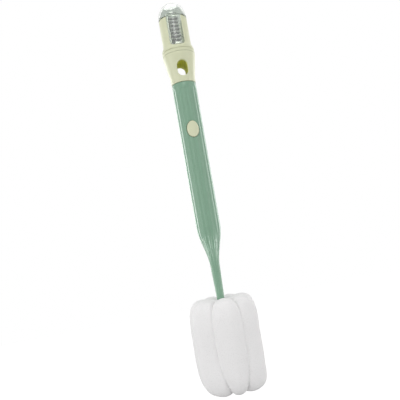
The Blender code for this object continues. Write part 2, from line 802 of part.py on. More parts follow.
def make_sponge_core(parts, material):
    """The barbed insert that the foam is moulded on, with a blind socket for the neck's tip."""
    lip_z = sponge_outline()[-1][1]
    disc_top = lip_z + DISC_THICKNESS
    socket = TIP_RADIUS + GAP
    profile = [(socket, CORE_TOP_Z), (CORE_RADIUS, CORE_TOP_Z)]
    for i in range(BARB_COUNT):
        top = CORE_TOP_Z - BARB_START - BARB_PITCH * i
        profile += [
            (CORE_RADIUS, top),
            (BARB_RADIUS, top),
            (CORE_RADIUS, top - BARB_SLOPE),
        ]
    profile += [
        (CORE_RADIUS, disc_top),
        (DISC_RADIUS, disc_top),
        (DISC_RADIUS, lip_z + COLLAR_EDGE),
        (DISC_RADIUS - COLLAR_EDGE, lip_z),
        (0.0, lip_z),
    ]
    bottom = TIP_END_Z - GAP
    profile = [(0.0, bottom), (socket, bottom)] + profile
    return turned("sponge_core", profile, parts, material, steps=SMALL_STEPS)


def sponge_outline():
    """(radius, height, groove depth) down the outside, from the top dimple to the bottom lip."""
    half = SPONGE_HEIGHT / 2
    middle = SPONGE_TOP_Z - half
    neck_lip = NECK_END_RADIUS + GAP
    disc_lip = DISC_RADIUS + GAP
    points = []
    steps = 16
    for i in range(steps + 1):
        swing = math.radians(90 - 180 * i / steps)
        squareness = SPONGE_TOP_SQUARENESS if swing > 0 else SPONGE_BOTTOM_SQUARENESS
        dimple = TOP_DIMPLE if swing > 0 else BOTTOM_DIMPLE
        lip = neck_lip if swing > 0 else disc_lip
        radius = SPONGE_RADIUS * abs(math.cos(swing)) ** (2 / squareness)
        radius = max(radius, lip)
        rise = half * abs(math.sin(swing)) ** (2 / squareness)
        rise -= dimple * (1 - radius / SPONGE_RADIUS) ** 2
        height = middle + math.copysign(rise, swing)
        end_share = abs(height - middle) / half - GROOVE_DEEPENS_FROM
        end_share = smooth_step(end_share / (GROOVE_DEEPENS_TO - GROOVE_DEEPENS_FROM))
        depth = GROOVE_DEPTH + (GROOVE_END_DEPTH - GROOVE_DEPTH) * end_share
        depth *= smooth_step((radius - lip) / GROOVE_FADE)
        points.append((radius, height, depth))
    return points


def make_sponge(parts, material):
    """The lobed foam block: a ring of pillows, bored out for the core."""
    outline = sponge_outline()
    lip_z = outline[-1][1]
    disc_seat = lip_z + DISC_THICKNESS + GAP
    bore = BARB_RADIUS + GAP
    ceiling = CORE_TOP_Z + GAP
    inside = [
        (DISC_RADIUS + GAP, disc_seat, 0.0),
        (bore, disc_seat, 0.0),
        (bore, ceiling, 0.0),
        (NECK_END_RADIUS + GAP, ceiling, 0.0),
    ]
    half = SPONGE_HEIGHT / 2
    middle = SPONGE_TOP_Z - half
    count = LOBE_COUNT * SPONGE_STEPS_PER_LOBE
    front = math.radians(-90 + LOBE_TURN)
    rings = []
    for index, (radius, height, depth) in enumerate(outline + inside):
        before = outline[max(index - 1, 0)] if index < len(outline) else None
        after = outline[min(index + 1, len(outline) - 1)] if index < len(outline) else None
        normal = (1.0, 0.0)
        if before and before != after:
            along = Vector((after[0] - before[0], after[1] - before[1])).normalized()
            normal = (-along.y, along.x)
        bow = 0.0
        if index < len(outline):
            reach = radius / SPONGE_RADIUS
            bow = -SPONGE_BOW * (1 - 2 * ((height - middle) / half) ** 2) * reach
        ring = []
        for i in range(count):
            angle = front + 2 * math.pi * i / count
            crest = abs(math.cos(LOBE_COUNT * (angle - front) / 2)) ** LOBE_FLATNESS
            sink = depth * (1 - crest)
            reach = radius - sink * normal[0]
            ring.append((
                reach * math.cos(angle) + bow, reach * math.sin(angle), height - sink * normal[1],
            ))
        rings.append(ring)
    return loft("sponge", rings, parts, material, closed=True)


def main():
    clear_scene()
    parts = new_collection("sponge_bottle_brush")
    cutters = new_collection("cutters")
    cream = plastic("cream_plastic", (222, 222, 188), 0.38)
    green = plastic("green_plastic", (140, 168, 150), 0.32)
    white = plastic("white_plastic", (232, 232, 226), 0.42)
    clear = plastic("clear_plastic", (214, 224, 214), 0.06, transmission=0.9)
    steel = plastic("spring_steel", (190, 192, 194), 0.28, metallic=1.0)
    nylon = plastic("nylon_bristle", (206, 214, 204), 0.5)
    foam = plastic("white_foam", (240, 239, 238), 0.95)

    straw_bristles, straw_count = make_straw_bristles(parts, nylon)
    gap_bristles, gap_count = make_gap_bristles(parts, nylon)
    hanger = [
        make_collar(parts, cutters, cream),
        make_brush_plug(parts, cutters, white),
        make_latch(parts, steel),
        make_straw_wire(parts, steel),
        straw_bristles,
        make_gap_head(parts, cutters, white),
        gap_bristles,
    ]
    cap = [make_cap_sleeve(parts, cutters, cream), make_cap_dome(parts, clear)]
    handle = [make_handle(parts, cutters, green)]
    button = [make_button(parts, cutters, cream)]
    sponge_head = [make_sponge_core(parts, white), make_sponge(parts, foam)]
    for piece in hanger + cap + handle + button + sponge_head:
        settle(piece)

    hanger_pivot = pivot("hanger_pivot", (0.0, 0.0, 0.0), parts)
    cap_pivot = pivot("cap_pull_pivot", (0.0, 0.0, CAP_BOTTOM_Z), parts, hanger_pivot)
    handle_pivot = pivot("handle_pull_pivot", (0.0, 0.0, MOUTH_Z), parts, hanger_pivot)
    button_pivot = pivot("button_press_pivot", (0.0, -HANDLE_RADIUS, BUTTON_Z), parts, handle_pivot)
    sponge_pivot = pivot("sponge_pull_pivot", (0.0, 0.0, SHOULDER_Z), parts, handle_pivot)
    carry(hanger_pivot, hanger)
    carry(cap_pivot, cap)
    carry(handle_pivot, handle)
    carry(button_pivot, button)
    carry(sponge_pivot, sponge_head)
    print("bristle strands:", straw_count + gap_count)


main()
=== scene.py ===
import json
import math

import bmesh
import bpy
from mathutils import Matrix, Vector

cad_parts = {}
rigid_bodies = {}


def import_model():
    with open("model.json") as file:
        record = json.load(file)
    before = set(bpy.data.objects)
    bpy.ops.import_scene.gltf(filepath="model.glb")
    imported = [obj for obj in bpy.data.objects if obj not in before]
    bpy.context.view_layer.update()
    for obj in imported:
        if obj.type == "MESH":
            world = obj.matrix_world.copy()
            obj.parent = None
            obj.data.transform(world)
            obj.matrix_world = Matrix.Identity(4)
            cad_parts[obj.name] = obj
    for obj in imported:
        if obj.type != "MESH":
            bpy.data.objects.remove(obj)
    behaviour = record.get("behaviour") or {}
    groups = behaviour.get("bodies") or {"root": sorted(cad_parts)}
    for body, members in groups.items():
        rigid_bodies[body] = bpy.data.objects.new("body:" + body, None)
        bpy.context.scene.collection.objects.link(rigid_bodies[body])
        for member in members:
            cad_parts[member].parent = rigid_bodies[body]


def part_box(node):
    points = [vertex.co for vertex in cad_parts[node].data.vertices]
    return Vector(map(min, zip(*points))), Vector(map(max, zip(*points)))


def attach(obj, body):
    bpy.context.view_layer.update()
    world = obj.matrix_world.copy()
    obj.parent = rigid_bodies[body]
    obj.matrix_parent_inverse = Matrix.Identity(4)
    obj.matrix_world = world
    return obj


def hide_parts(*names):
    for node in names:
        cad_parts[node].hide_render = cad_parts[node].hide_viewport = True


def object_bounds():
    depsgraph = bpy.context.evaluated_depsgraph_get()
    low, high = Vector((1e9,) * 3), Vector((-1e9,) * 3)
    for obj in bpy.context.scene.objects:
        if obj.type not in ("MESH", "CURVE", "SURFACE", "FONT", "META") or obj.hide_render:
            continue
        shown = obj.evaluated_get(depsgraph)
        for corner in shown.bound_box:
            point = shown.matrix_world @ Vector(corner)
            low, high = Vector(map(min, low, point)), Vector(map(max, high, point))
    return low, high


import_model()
cadLow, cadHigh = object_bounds()

collarLow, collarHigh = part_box("collar")
sleeveLow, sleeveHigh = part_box("cap_sleeve")
domeLow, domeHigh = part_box("cap_dome")
handleLow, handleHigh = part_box("handle_shell")
buttonLow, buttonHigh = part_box("release_button")
plugLow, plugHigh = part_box("brush_plug")
wireLow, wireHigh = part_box("straw_brush_wire")
strawLow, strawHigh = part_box("straw_brush_bristles")
headLow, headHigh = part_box("gap_brush_head")
tuftLow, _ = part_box("gap_brush_bristles")
latchLow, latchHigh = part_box("latch_spring")
coreLow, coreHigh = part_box("sponge_core")

clearance = 0.0003
goldenAngle = math.pi * (3 - math.sqrt(5))
onAxis = 1e-7                   # a radius that counts as none
hair = 1e-5                     # a difference that counts as none
leastSquare = 1e-9              # keeps a root real past the wall's edge
bendLimit = 0.48                # share of a side that the bend at its end may take
runOver = 0.002                 # how far a cutter runs on past what it cuts
fineSteps = 192                 # round the collar and the cap
fineRow = 0.0012
edgeAngles = (0, 30, 60, 90)    # degrees at which a rounded edge has its rows
lipAngles = (12, 26, 42, 58, 74, 90)    # a hole's lip starts a few degrees in


# Small helpers

def screenColour(red, green, blue):
    # 0 to 255 as seen on a screen, to the values that a shader takes
    values = []
    for channel in (red, green, blue):
        share = channel / 255
        values.append(share / 12.92 if share <= 0.04045 else ((share + 0.055) / 1.055) ** 2.4)
    return (*values, 1.0)


def smoothStep(share):
    share = min(max(share, 0.0), 1.0)
    return share * share * (3 - 2 * share)


def blendValue(start, end, share):
    return start + (end - start) * share


def sharesOf(steps):
    # from 0 to 1, both ends included
    return [step / steps for step in range(steps + 1)]


def addPiece(name, shape):
    # a bmesh becomes an object at the origin, its faces turned outwards
    bmesh.ops.recalc_face_normals(shape, faces=shape.faces)
    mesh = bpy.data.meshes.new(name)
    shape.to_mesh(mesh)
    shape.free()
    piece = bpy.data.objects.new(name, mesh)
    bpy.context.scene.collection.objects.link(piece)
    return piece


def bakePiece(piece):
    # modifiers and Geometry Nodes become a plain mesh
    graph = bpy.context.evaluated_depsgraph_get()
    mesh = bpy.data.meshes.new_from_object(piece.evaluated_get(graph))
    piece.modifiers.clear()
    piece.data = mesh


def joinSolid(piece, tool, operation):
    modifier = piece.modifiers.new(tool.name, "BOOLEAN")
    modifier.operation = operation
    modifier.solver = "EXACT"
    modifier.object = tool
    bakePiece(piece)
    bpy.data.objects.remove(tool)


def storeValues(piece, name, values):
    piece.data.attributes.new(name, "FLOAT", "POINT").data.foreach_set("value", values)


def markVertices(piece, name, valueAt):
    storeValues(piece, name, [valueAt(vertex) for vertex in piece.data.vertices])


def finishPiece(piece, body, node, material, sharpAngle=38):
    # without a material the piece keeps those that its node tree gave it
    mesh = piece.data
    if material:
        mesh.materials.clear()
        mesh.materials.append(material)
    mesh.shade_smooth()
    mesh.set_sharp_from_angle(angle=math.radians(sharpAngle))
    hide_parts(node)
    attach(piece, body)
    return piece


# Outlines and solids

def roundedProfile(corners, bendSteps=6, longest=0.0016, ring=False):
    # corners are (x, y, bend radius); long runs are split so that later cuts stay smooth
    count = len(corners)
    points = []
    for index, (x, y, bend) in enumerate(corners):
        here = Vector((x, y))
        atEnd = not ring and index in (0, count - 1)
        if atEnd or not bend:
            points.append(here)
            continue
        before = Vector(corners[index - 1][:2]) - here
        after = Vector(corners[(index + 1) % count][:2]) - here
        turn = math.pi - before.angle(after)
        reach = min(bend * math.tan(turn / 2), bendLimit * before.length, bendLimit * after.length)
        start = here + before.normalized() * reach
        end = here + after.normalized() * reach
        for share in sharesOf(bendSteps):
            points.append(start * (1 - share) ** 2 + here * 2 * share * (1 - share) + end * share ** 2)
    runs = list(zip(points, points[1:]))
    if ring:
        runs.append((points[-1], points[0]))
    split = []
    for start, end in runs:
        pieces = max(1, math.ceil((end - start).length / longest))
        split += [start.lerp(end, step / pieces) for step in range(pieces)]
    if not ring:
        split.append(points[-1])
    return split


def turnedShape(profile, steps, ring=False):
    # (radius, height) points turned about Z; a point on the axis closes the shape there
    shape = bmesh.new()
    rows = []
    for radius, height in profile:
        if radius < onAxis:
            rows.append([shape.verts.new((0, 0, height))])
            continue
        row = []
        for step in range(steps):
            angle = -math.pi / 2 + 2 * math.pi * step / steps
            row.append(shape.verts.new((radius * math.cos(angle), radius * math.sin(angle), height)))
        rows.append(row)
    pairs = list(zip(rows, rows[1:]))
    if ring:
        pairs.append((rows[-1], rows[0]))
    for upper, lower in pairs:
        for step in range(steps):
            after = (step + 1) % steps
            corners = [
                upper[step % len(upper)], lower[step % len(lower)],
                lower[after % len(lower)], upper[after % len(upper)],
            ]
            shape.faces.new(list(dict.fromkeys(corners)))
    return shape


def turnedPiece(name, corners, steps=128, bendSteps=6, longest=0.0016, ring=False):
    profile = roundedProfile(corners, bendSteps, longest, ring)
    return addPiece(name, turnedShape(profile, steps, ring))


def loftShape(rings):
    shape = bmesh.new()
    rows = [[shape.verts.new(point) for point in ring] for ring in rings]
    count = len(rows[0])
    for upper, lower in zip(rows, rows[1:]):
        for step in range(count):
            after = (step + 1) % count
            shape.faces.new((upper[step], lower[step], lower[after], upper[after]))
    shape.faces.new(rows[0])
    shape.faces.new(list(reversed(rows[-1])))
    return shape


def arcPoints(middle, radius, start, end, steps):
    # along an arc between two angles in degrees, both ends included
    points = []
    for share in sharesOf(steps):
        angle = math.radians(blendValue(start, end, share))
        points.append((middle[0] + radius * math.cos(angle), middle[1] + radius * math.sin(angle)))
    return points


def ovalOutline(width, height, middle, steps=96):
    def outline(grow):
        circle = arcPoints((0, 0), 1, 0, 360, steps)[:-1]
        return [((width / 2 + grow) * x, middle + (height / 2 + grow) * z) for x, z in circle]
    return outline


def slotOutline(width, bottom, top, arcSteps=24, sideSteps=14):
    # an upright slot with round ends
    foot = bottom + width / 2
    head = top - width / 2

    def outline(grow):
        radius = width / 2 + grow
        heights = [blendValue(foot, head, share) for share in sharesOf(sideSteps)[1:-1]]
        return (
            arcPoints((0, foot), radius, 180, 360, arcSteps) + [(radius, z) for z in heights]
            + arcPoints((0, head), radius, 0, 180, arcSteps) + [(-radius, z) for z in reversed(heights)]
        )
    return outline


def blockOutline(halfWidth, low, high, bend, arcSteps=6):
    # an upright rectangle with round corners
    right, top, foot = halfWidth - bend, high - bend, low + bend

    def outline(grow):
        points = []
        for x, z, start in ((right, top, 0), (-right, top, 90), (-right, foot, 180), (right, foot, 270)):
            points += arcPoints((x, z), bend + grow, start, start + 90, arcSteps)
        return points
    return outline


def roundEdge(radius, angles=edgeAngles):
    # (inset, depth) round a quarter turn, from the face to the side
    swings = [math.radians(angle) for angle in angles]
    return [(radius * (1 - math.sin(swing)), radius * (1 - math.cos(swing))) for swing in swings]


def lipRings(outline, wallRadius, lip, runOn=1.2):
    # rings from outside the wall to the hole's side, round a lip of that radius;
    # where the lip starts, its tangent runs on outwards
    rises = roundEdge(lip, lipAngles)
    swing = math.radians(lipAngles[0])
    outside = (
        rises[0][0] + runOn * lip * math.cos(swing),
        rises[0][1] - runOn * lip * math.sin(swing),
    )
    rings = []
    for grow, depth in [outside] + rises:
        ring = []
        for x, z in outline(grow):
            surface = math.sqrt(max(wallRadius(z) ** 2 - x * x, leastSquare))
            ring.append((x, -surface + depth, z))
        rings.append(ring)
    clear = min(point[1] for point in rings[0]) - runOver
    return [[(x, clear, z) for x, _, z in rings[0]]] + rings


def lippedCutter(
    name, outline, wallRadius, lip, innerEnd=None, backOutline=None, backLip=None, sideRows=8,
):
    # right through the piece, or to innerEnd along Y, with a round lip where it leaves the wall
    front = lipRings(outline, wallRadius, lip)
    if innerEnd is not None:
        return addPiece(name, loftShape(front + [[(x, innerEnd, z) for x, _, z in front[-1]]]))
    rear = lipRings(backOutline or outline, wallRadius, backLip or lip)
    back = [[(x, -y, z) for x, y, z in ring] for ring in reversed(rear)]
    sides = []
    for share in sharesOf(sideRows)[1:-1]:
        sides.append([Vector(start).lerp(Vector(end), share) for start, end in zip(front[-1], back[0])])
    return addPiece(name, loftShape(front + sides + back))


def roundedPlate(name, outline, front, back, edge):
    # a flat plate in the XZ plane with rounded edges
    rings = []
    for inset, depth in roundEdge(edge):
        rings.append([(x, front + depth, z) for x, z in outline(-inset)])
    rings += [[(x, back - (y - front), z) for x, y, z in ring] for ring in reversed(rings)]
    return addPiece(name, loftShape(rings))


def cutBox(piece, name, low, high):
    box = bmesh.new()
    bmesh.ops.create_cube(box, size=1.0)
    bmesh.ops.scale(box, vec=high - low, verts=box.verts)
    bmesh.ops.translate(box, vec=(high + low) / 2, verts=box.verts)
    joinSolid(piece, addPiece(name, box), "DIFFERENCE")


def sideRadius(profile):
    # the outer radius at a height, read from a profile that runs down
    def radiusAt(height):
        if height > profile[0][1]:
            return profile[0][0]
        for (upperRadius, upper), (lowerRadius, lower) in zip(profile, profile[1:]):
            if lower <= height <= upper and upper > lower:
                return blendValue(upperRadius, lowerRadius, (upper - height) / (upper - lower))
        return profile[-1][0]
    return radiusAt


# Node trees

class Wire:
    # a value or a shape in a node tree, and reckoning with it adds the nodes that do so
    def __init__(self, tree, socket):
        self.tree = tree
        self.socket = socket

    def into(self, target):
        self.tree.links.new(self.socket, target)

    def to(self, operation, *others):
        return calc(self.tree, operation, self, *others)

    def __add__(self, other):
        return self.to("ADD", other)

    def __sub__(self, other):
        return self.to("SUBTRACT", other)

    def __mul__(self, other):
        return self.to("MULTIPLY", other)

    def __truediv__(self, other):
        return self.to("DIVIDE", other)

    def __rsub__(self, other):
        return calc(self.tree, "SUBTRACT", other, self)

    def __rtruediv__(self, other):
        return calc(self.tree, "DIVIDE", other, self)


def addNode(tree, kind, wires=None, **settings):
    made = tree.nodes.new(kind)
    for key, value in settings.items():
        setattr(made, key, value)
    for key, value in (wires or {}).items():
        if isinstance(value, Wire):
            value.into(made.inputs[key])
        else:
            made.inputs[key].default_value = value
    return made


def outOf(tree, kind, wires=None, out=0, **settings):
    return Wire(tree, addNode(tree, kind, wires, **settings).outputs[out])


def calc(tree, operation, *values):
    return outOf(tree, "ShaderNodeMath", dict(enumerate(values)), operation=operation)


def addSocket(tree, label, way, kind):
    return tree.interface.new_socket(label, in_out=way, socket_type="NodeSocket" + kind)


def kindOf(value):
    # a socket's kind follows from its default value, and None stands for a material
    if value is None:
        return "Material"
    if isinstance(value, tuple):
        return "Color" if len(value) == 4 else "Vector"
    return "Int" if isinstance(value, int) else "Float"


def newTree(name, given, results=None):
    # with results it is a shader group, and without them it takes a shape and gives one
    tree = bpy.data.node_groups.new(name, "ShaderNodeTree" if results else "GeometryNodeTree")
    if not results:
        results = {"Geometry": "Geometry"}
        addSocket(tree, "Geometry", "INPUT", "Geometry")
    for label, value in given.items():
        socket = addSocket(tree, label, "INPUT", kindOf(value))
        if value is not None:
            socket.default_value = value
    for label, kind in results.items():
        addSocket(tree, label, "OUTPUT", kind)
    entry = tree.nodes.new("NodeGroupInput").outputs
    wires = {socket.name: Wire(tree, socket) for socket in entry if socket.name}
    return tree, wires, tree.nodes.new("NodeGroupOutput").inputs


def swayOf(value, spread):
    # a value from 0 to 1 swings by half the spread to either side
    return (value - 0.5) * spread


def vectorOf(tree, x=0.0, y=0.0, z=0.0):
    return outOf(tree, "ShaderNodeCombineXYZ", {"X": x, "Y": y, "Z": z})


def addVectors(first, second):
    return outOf(first.tree, "ShaderNodeVectorMath", {0: first, 1: second}, operation="ADD")


def positionOf(tree):
    return outOf(tree, "GeometryNodeInputPosition")


def partsOf(vector):
    node = addNode(vector.tree, "ShaderNodeSeparateXYZ", {0: vector})
    return [Wire(vector.tree, socket) for socket in node.outputs]


def attributeOf(tree, name):
    return outOf(tree, "GeometryNodeInputNamedAttribute", {"Name": name}, data_type="FLOAT")


def noiseOf(place, size, detail):
    wires = {"Vector": place, "Scale": 1.0 / size, "Detail": detail}
    return outOf(place.tree, "ShaderNodeTexNoise", wires)


def randomOf(low, high, seed, shift=0.0):
    # a random value for each point, or a random vector between two vectors
    kind, first, out = ("FLOAT_VECTOR", 0, 0) if isinstance(low, tuple) else ("FLOAT", 2, 1)
    wires = {first: low, first + 1: high, "Seed": seed + shift if shift else seed}
    return outOf(seed.tree, "FunctionNodeRandomValue", wires, out, data_type=kind)


def transformed(shape, place, rotation):
    wires = {"Geometry": shape, "Translation": place, "Rotation": rotation}
    return outOf(shape.tree, "GeometryNodeTransform", wires)


def moveShape(given, result, offset):
    wires = {"Geometry": given["Geometry"], "Offset": offset}
    outOf(offset.tree, "GeometryNodeSetPosition", wires).into(result["Geometry"])


def joinShapes(*shapes):
    joined = addNode(shapes[0].tree, "GeometryNodeJoinGeometry")
    for shape in shapes:
        shape.into(joined.inputs[0])
    return Wire(shapes[0].tree, joined.outputs[0])


def realShape(shape):
    return outOf(shape.tree, "GeometryNodeRealizeInstances", {"Geometry": shape})


def dressShape(shape, material):
    wires = {"Geometry": realShape(shape), "Material": material}
    return outOf(shape.tree, "GeometryNodeSetMaterial", wires)


def runTree(piece, tree, values):
    # each input is set by its socket's identifier, and the result is baked
    modifier = piece.modifiers.new(tree.name, "NODES")
    modifier.node_group = tree
    for item in tree.interface.items_tree:
        if item.item_type == "SOCKET" and item.in_out == "INPUT" and item.name in values:
            modifier[item.identifier] = values[item.name]
    bakePiece(piece)
    for index in reversed(range(len(piece.data.materials))):
        if piece.data.materials[index] is None:
            piece.data.materials.pop(index=index)


def buildFluteTree():
    # shallow flutes round a turned grip, as deep as the attribute fluteShare allows
    tree, given, result = newTree("fluteWave", {"flutes": 16, "fluteDepth": 0.0004})
    x, y, _ = partsOf(positionOf(tree))
    angle = y.to("ARCTAN2", x)
    wave = ((angle + math.pi / 2) * given["flutes"]).to("COSINE")
    dip = wave.to("MULTIPLY_ADD", 0.5, 0.5)
    inward = dip * attributeOf(tree, "fluteShare") * given["fluteDepth"] * -1.0
    moveShape(given, result, vectorOf(tree, inward * angle.to("COSINE"), inward * angle.to("SINE")))
    return tree


def buildLobeTree(gatherWaves=3.0):
    # pillows round a turned foam body, parted by grooves as deep as the attribute groove says;
    # where the attribute gather rises, the front one narrows and the two beside it widen
    tree, given, result = newTree("foamLobes", {
        "lobes": 7, "turn": 0.0, "gather": 0.0, "gatheredTurn": 0.0, "flatness": 0.5,
        "unevenness": 0.0004, "lumpSize": 0.02, "grain": 0.0001, "grainSize": 0.0016,
    })
    position = positionOf(tree)
    x, y, _ = partsOf(position)
    turned = y.to("ARCTAN2", x) + math.pi / 2 - given["turn"]
    swing = (turned * gatherWaves).to("SINE")
    shift = swing.to("MULTIPLY_ADD", given["gather"], given["gatheredTurn"])
    gathered = shift.to("MULTIPLY_ADD", attributeOf(tree, "gather"), turned)
    ridge = (gathered * given["lobes"] * 0.5).to("COSINE").to("ABSOLUTE")
    crest = ridge.to("POWER", given["flatness"])
    sink = (1.0 - crest) * attributeOf(tree, "groove")
    lumps = swayOf(noiseOf(position, given["lumpSize"], 1.0), given["unevenness"])
    grain = swayOf(noiseOf(position, given["grainSize"], 0.0), given["grain"])
    push = (lumps + grain) * attributeOf(tree, "outside") - sink
    normal = outOf(tree, "GeometryNodeInputNormal")
    wires = {0: normal, "Scale": push}
    moveShape(given, result, outOf(tree, "ShaderNodeVectorMath", wires, operation="SCALE"))
    return tree


def strandNodes(radius, length, taper, sides=4):
    # one strand along Z that knows its share from root to tip
    cone = outOf(radius.tree, "GeometryNodeMeshCone", {
        "Vertices": sides, "Side Segments": 2, "Radius Top": radius * taper, "Radius Bottom": radius,
        "Depth": length,
    })
    share = partsOf(positionOf(radius.tree))[2] / length
    wires = {"Geometry": cone, "Name": "tipShare", "Value": share}
    return outOf(
        radius.tree, "GeometryNodeStoreNamedAttribute", wires, data_type="FLOAT", domain="POINT",
    )


def copiesOf(shape, points, rotation, stretch=None):
    # copies on points, stretched along their own Z
    wires = {"Points": points, "Instance": shape, "Rotation": rotation}
    if stretch:
        wires["Scale"] = vectorOf(shape.tree, 1.0, 1.0, stretch)
    return outOf(shape.tree, "GeometryNodeInstanceOnPoints", wires)


def gridSpan(count, pitch):
    return (count - 1.0) * pitch


def buildTuftTree(taper=0.7, stray=0.02, shortest=0.95):
    # rows and columns of oval tufts, each a sunflower of splayed strands that point to -Y
    tree, given, result = newTree("brushTufts", {
        "tuftRows": 8, "tuftColumns": 3, "rowPitch": 0.003, "columnPitch": 0.0026,
        "middle": (0.0, 0.0, 0.0), "strands": 40, "tuftWidth": 0.0026, "tuftHeight": 0.0012,
        "strandRadius": 0.0001, "strandLength": 0.005, "splay": 0.05, "seed": 3, "bristle": None,
    })
    index = outOf(tree, "GeometryNodeInputIndex")
    spot = index * goldenAngle
    reach = ((index + 0.5) / given["strands"]).to("SQRT") * 0.5
    across = reach * spot.to("COSINE") * given["tuftWidth"]
    upward = reach * spot.to("SINE") * given["tuftHeight"]
    roots = outOf(tree, "GeometryNodePoints", {
        "Count": given["strands"], "Position": vectorOf(tree, across, upward),
    })
    x, y, _ = partsOf(positionOf(tree))
    slope = given["splay"] / given["tuftHeight"]
    outward = vectorOf(tree, x * slope, y * slope, 1.0)
    strayed = randomOf((-stray, -stray, 0.0), (stray, stray, 0.0), given["seed"])
    wires = {"Vector": addVectors(outward, strayed)}
    turn = outOf(tree, "FunctionNodeAlignRotationToVector", wires, axis="Z")
    strand = strandNodes(given["strandRadius"], given["strandLength"], taper)
    tuft = copiesOf(strand, roots, turn, randomOf(shortest, 1.0, given["seed"], 1.0))
    grid = outOf(tree, "GeometryNodeMeshGrid", {
        "Size X": gridSpan(given["tuftColumns"], given["columnPitch"]),
        "Size Y": gridSpan(given["tuftRows"], given["rowPitch"]),
        "Vertices X": given["tuftColumns"], "Vertices Y": given["tuftRows"],
    })
    raised = (math.pi / 2, 0.0, 0.0)
    grid = transformed(grid, given["middle"], raised)
    tuft = transformed(realShape(tuft), (0.0, 0.0, 0.0), raised)
    flip = randomOf(0.0, 2.0, given["seed"], 2.0).to("FLOOR")
    wires = {0: vectorOf(tree, 0.0, flip * math.pi, 0.0)}
    turnEach = outOf(tree, "FunctionNodeEulerToRotation", wires)
    field = dressShape(copiesOf(tuft, grid, turnEach), given["bristle"])
    joinShapes(field, given["Geometry"]).into(result["Geometry"])
    return tree


def twistNodes(given, turns, sides=8, fullness=0.98):
    # two round wires twisted about Z, closed at their ends
    tree = turns.tree
    radius = given["strandRadius"]
    spiral = outOf(tree, "GeometryNodeCurveSpiral", {
        "Resolution": 16, "Rotations": turns, "Start Radius": radius, "End Radius": radius,
        "Height": given["length"],
    })
    wires = {"Resolution": sides, "Radius": radius * fullness}
    ring = outOf(tree, "GeometryNodeCurvePrimitiveCircle", wires)
    wires = {"Curve": spiral, "Profile Curve": ring, "Fill Caps": True}
    tube = outOf(tree, "GeometryNodeCurveToMesh", wires)
    foot = vectorOf(tree, 0.0, 0.0, given["top"] - given["length"])
    both = [transformed(tube, foot, (0.0, 0.0, turn)) for turn in (0.0, math.pi)]
    return dressShape(joinShapes(*both), given["wire"])


def buildWireTree():
    tree, given, result = newTree("twistedWire", {
        "top": 0.0, "length": 0.05, "strandRadius": 0.00045, "wireTurns": 12.0, "wire": None,
    })
    twistNodes(given, given["wireTurns"]).into(result["Geometry"])
    return tree


def buildStrawTree(taper=0.8, strays=(0.12, 0.10, 0.35), shortest=0.90, bareEnd=0.015):
    # nylon filaments held across a twisted wire, so that they stand out in a spiral
    tree, given, result = newTree("strawBrush", {
        "top": 0.0, "length": 0.05, "reach": 0.004, "filaments": 1500, "filamentRadius": 0.00006,
        "brushTurns": 15.0, "strandRadius": 0.00045, "seed": 5, "bristle": None, "wire": None,
    })
    index = outOf(tree, "GeometryNodeInputIndex")
    share = (index + 0.5) / given["filaments"]
    inside = share.to("MULTIPLY_ADD", 1 - 2 * bareEnd, bareEnd)
    height = given["top"] - inside * given["length"]
    points = outOf(tree, "GeometryNodePoints", {
        "Count": given["filaments"], "Position": vectorOf(tree, 0.0, 0.0, height),
    })
    level = vectorOf(tree, math.pi / 2, 0.0, share * given["brushTurns"] * (2 * math.pi))
    strayed = randomOf(tuple(-most for most in strays), strays, given["seed"])
    turn = outOf(tree, "FunctionNodeEulerToRotation", {0: addVectors(level, strayed)})
    half = strandNodes(given["filamentRadius"], given["reach"], taper, sides=3)
    pair = joinShapes(half, transformed(half, (0.0, 0.0, 0.0), (math.pi, 0.0, 0.0)))
    field = copiesOf(pair, points, turn, randomOf(shortest, 1.0, given["seed"], 1.0))
    field = dressShape(field, given["bristle"])
    joinShapes(field, twistNodes(given, given["brushTurns"])).into(result["Geometry"])
    return tree


# Finishes

skinResults = {"Colour": "Color", "Roughness": "Float", "Normal": "Vector"}
midGrey = (0.5, 0.5, 0.5, 1.0)


def objectPlace(tree):
    return outOf(tree, "ShaderNodeTexCoord", out="Object")


def markOf(tree, name):
    # an attribute that the vertices carry
    return outOf(tree, "ShaderNodeAttribute", out="Fac", attribute_name=name)


def mixColours(share, first, second):
    wires = {0: share, 6: first, 7: second}
    return outOf(share.tree, "ShaderNodeMix", wires, 2, data_type="RGBA")


def giveSkin(result, colour, roughness, height, depth, strength):
    wires = {"Height": height, "Distance": depth, "Strength": strength}
    colour.into(result["Colour"])
    roughness.into(result["Roughness"])
    outOf(height.tree, "ShaderNodeBump", wires).into(result["Normal"])


def buildMouldedSkin():
    # moulded plastic: faint cloudiness, a fine grain and gloss that varies a little
    tree, given, result = newTree("mouldedSkin", {
        "Colour": midGrey, "Cloud Colour": midGrey, "Cloud Size": 0.012,
        "Grain Size": 0.0005, "Grain Height": 0.00001, "Roughness": 0.35, "Roughness Spread": 0.08,
    }, skinResults)
    place = objectPlace(tree)
    clouds = noiseOf(place, given["Cloud Size"], 3.0)
    grain = noiseOf(place, given["Grain Size"], 2.0)
    colour = mixColours(clouds, given["Colour"], given["Cloud Colour"])
    roughness = given["Roughness"] + swayOf(grain, given["Roughness Spread"])
    giveSkin(result, colour, roughness, grain, given["Grain Height"], 1.0)
    return tree


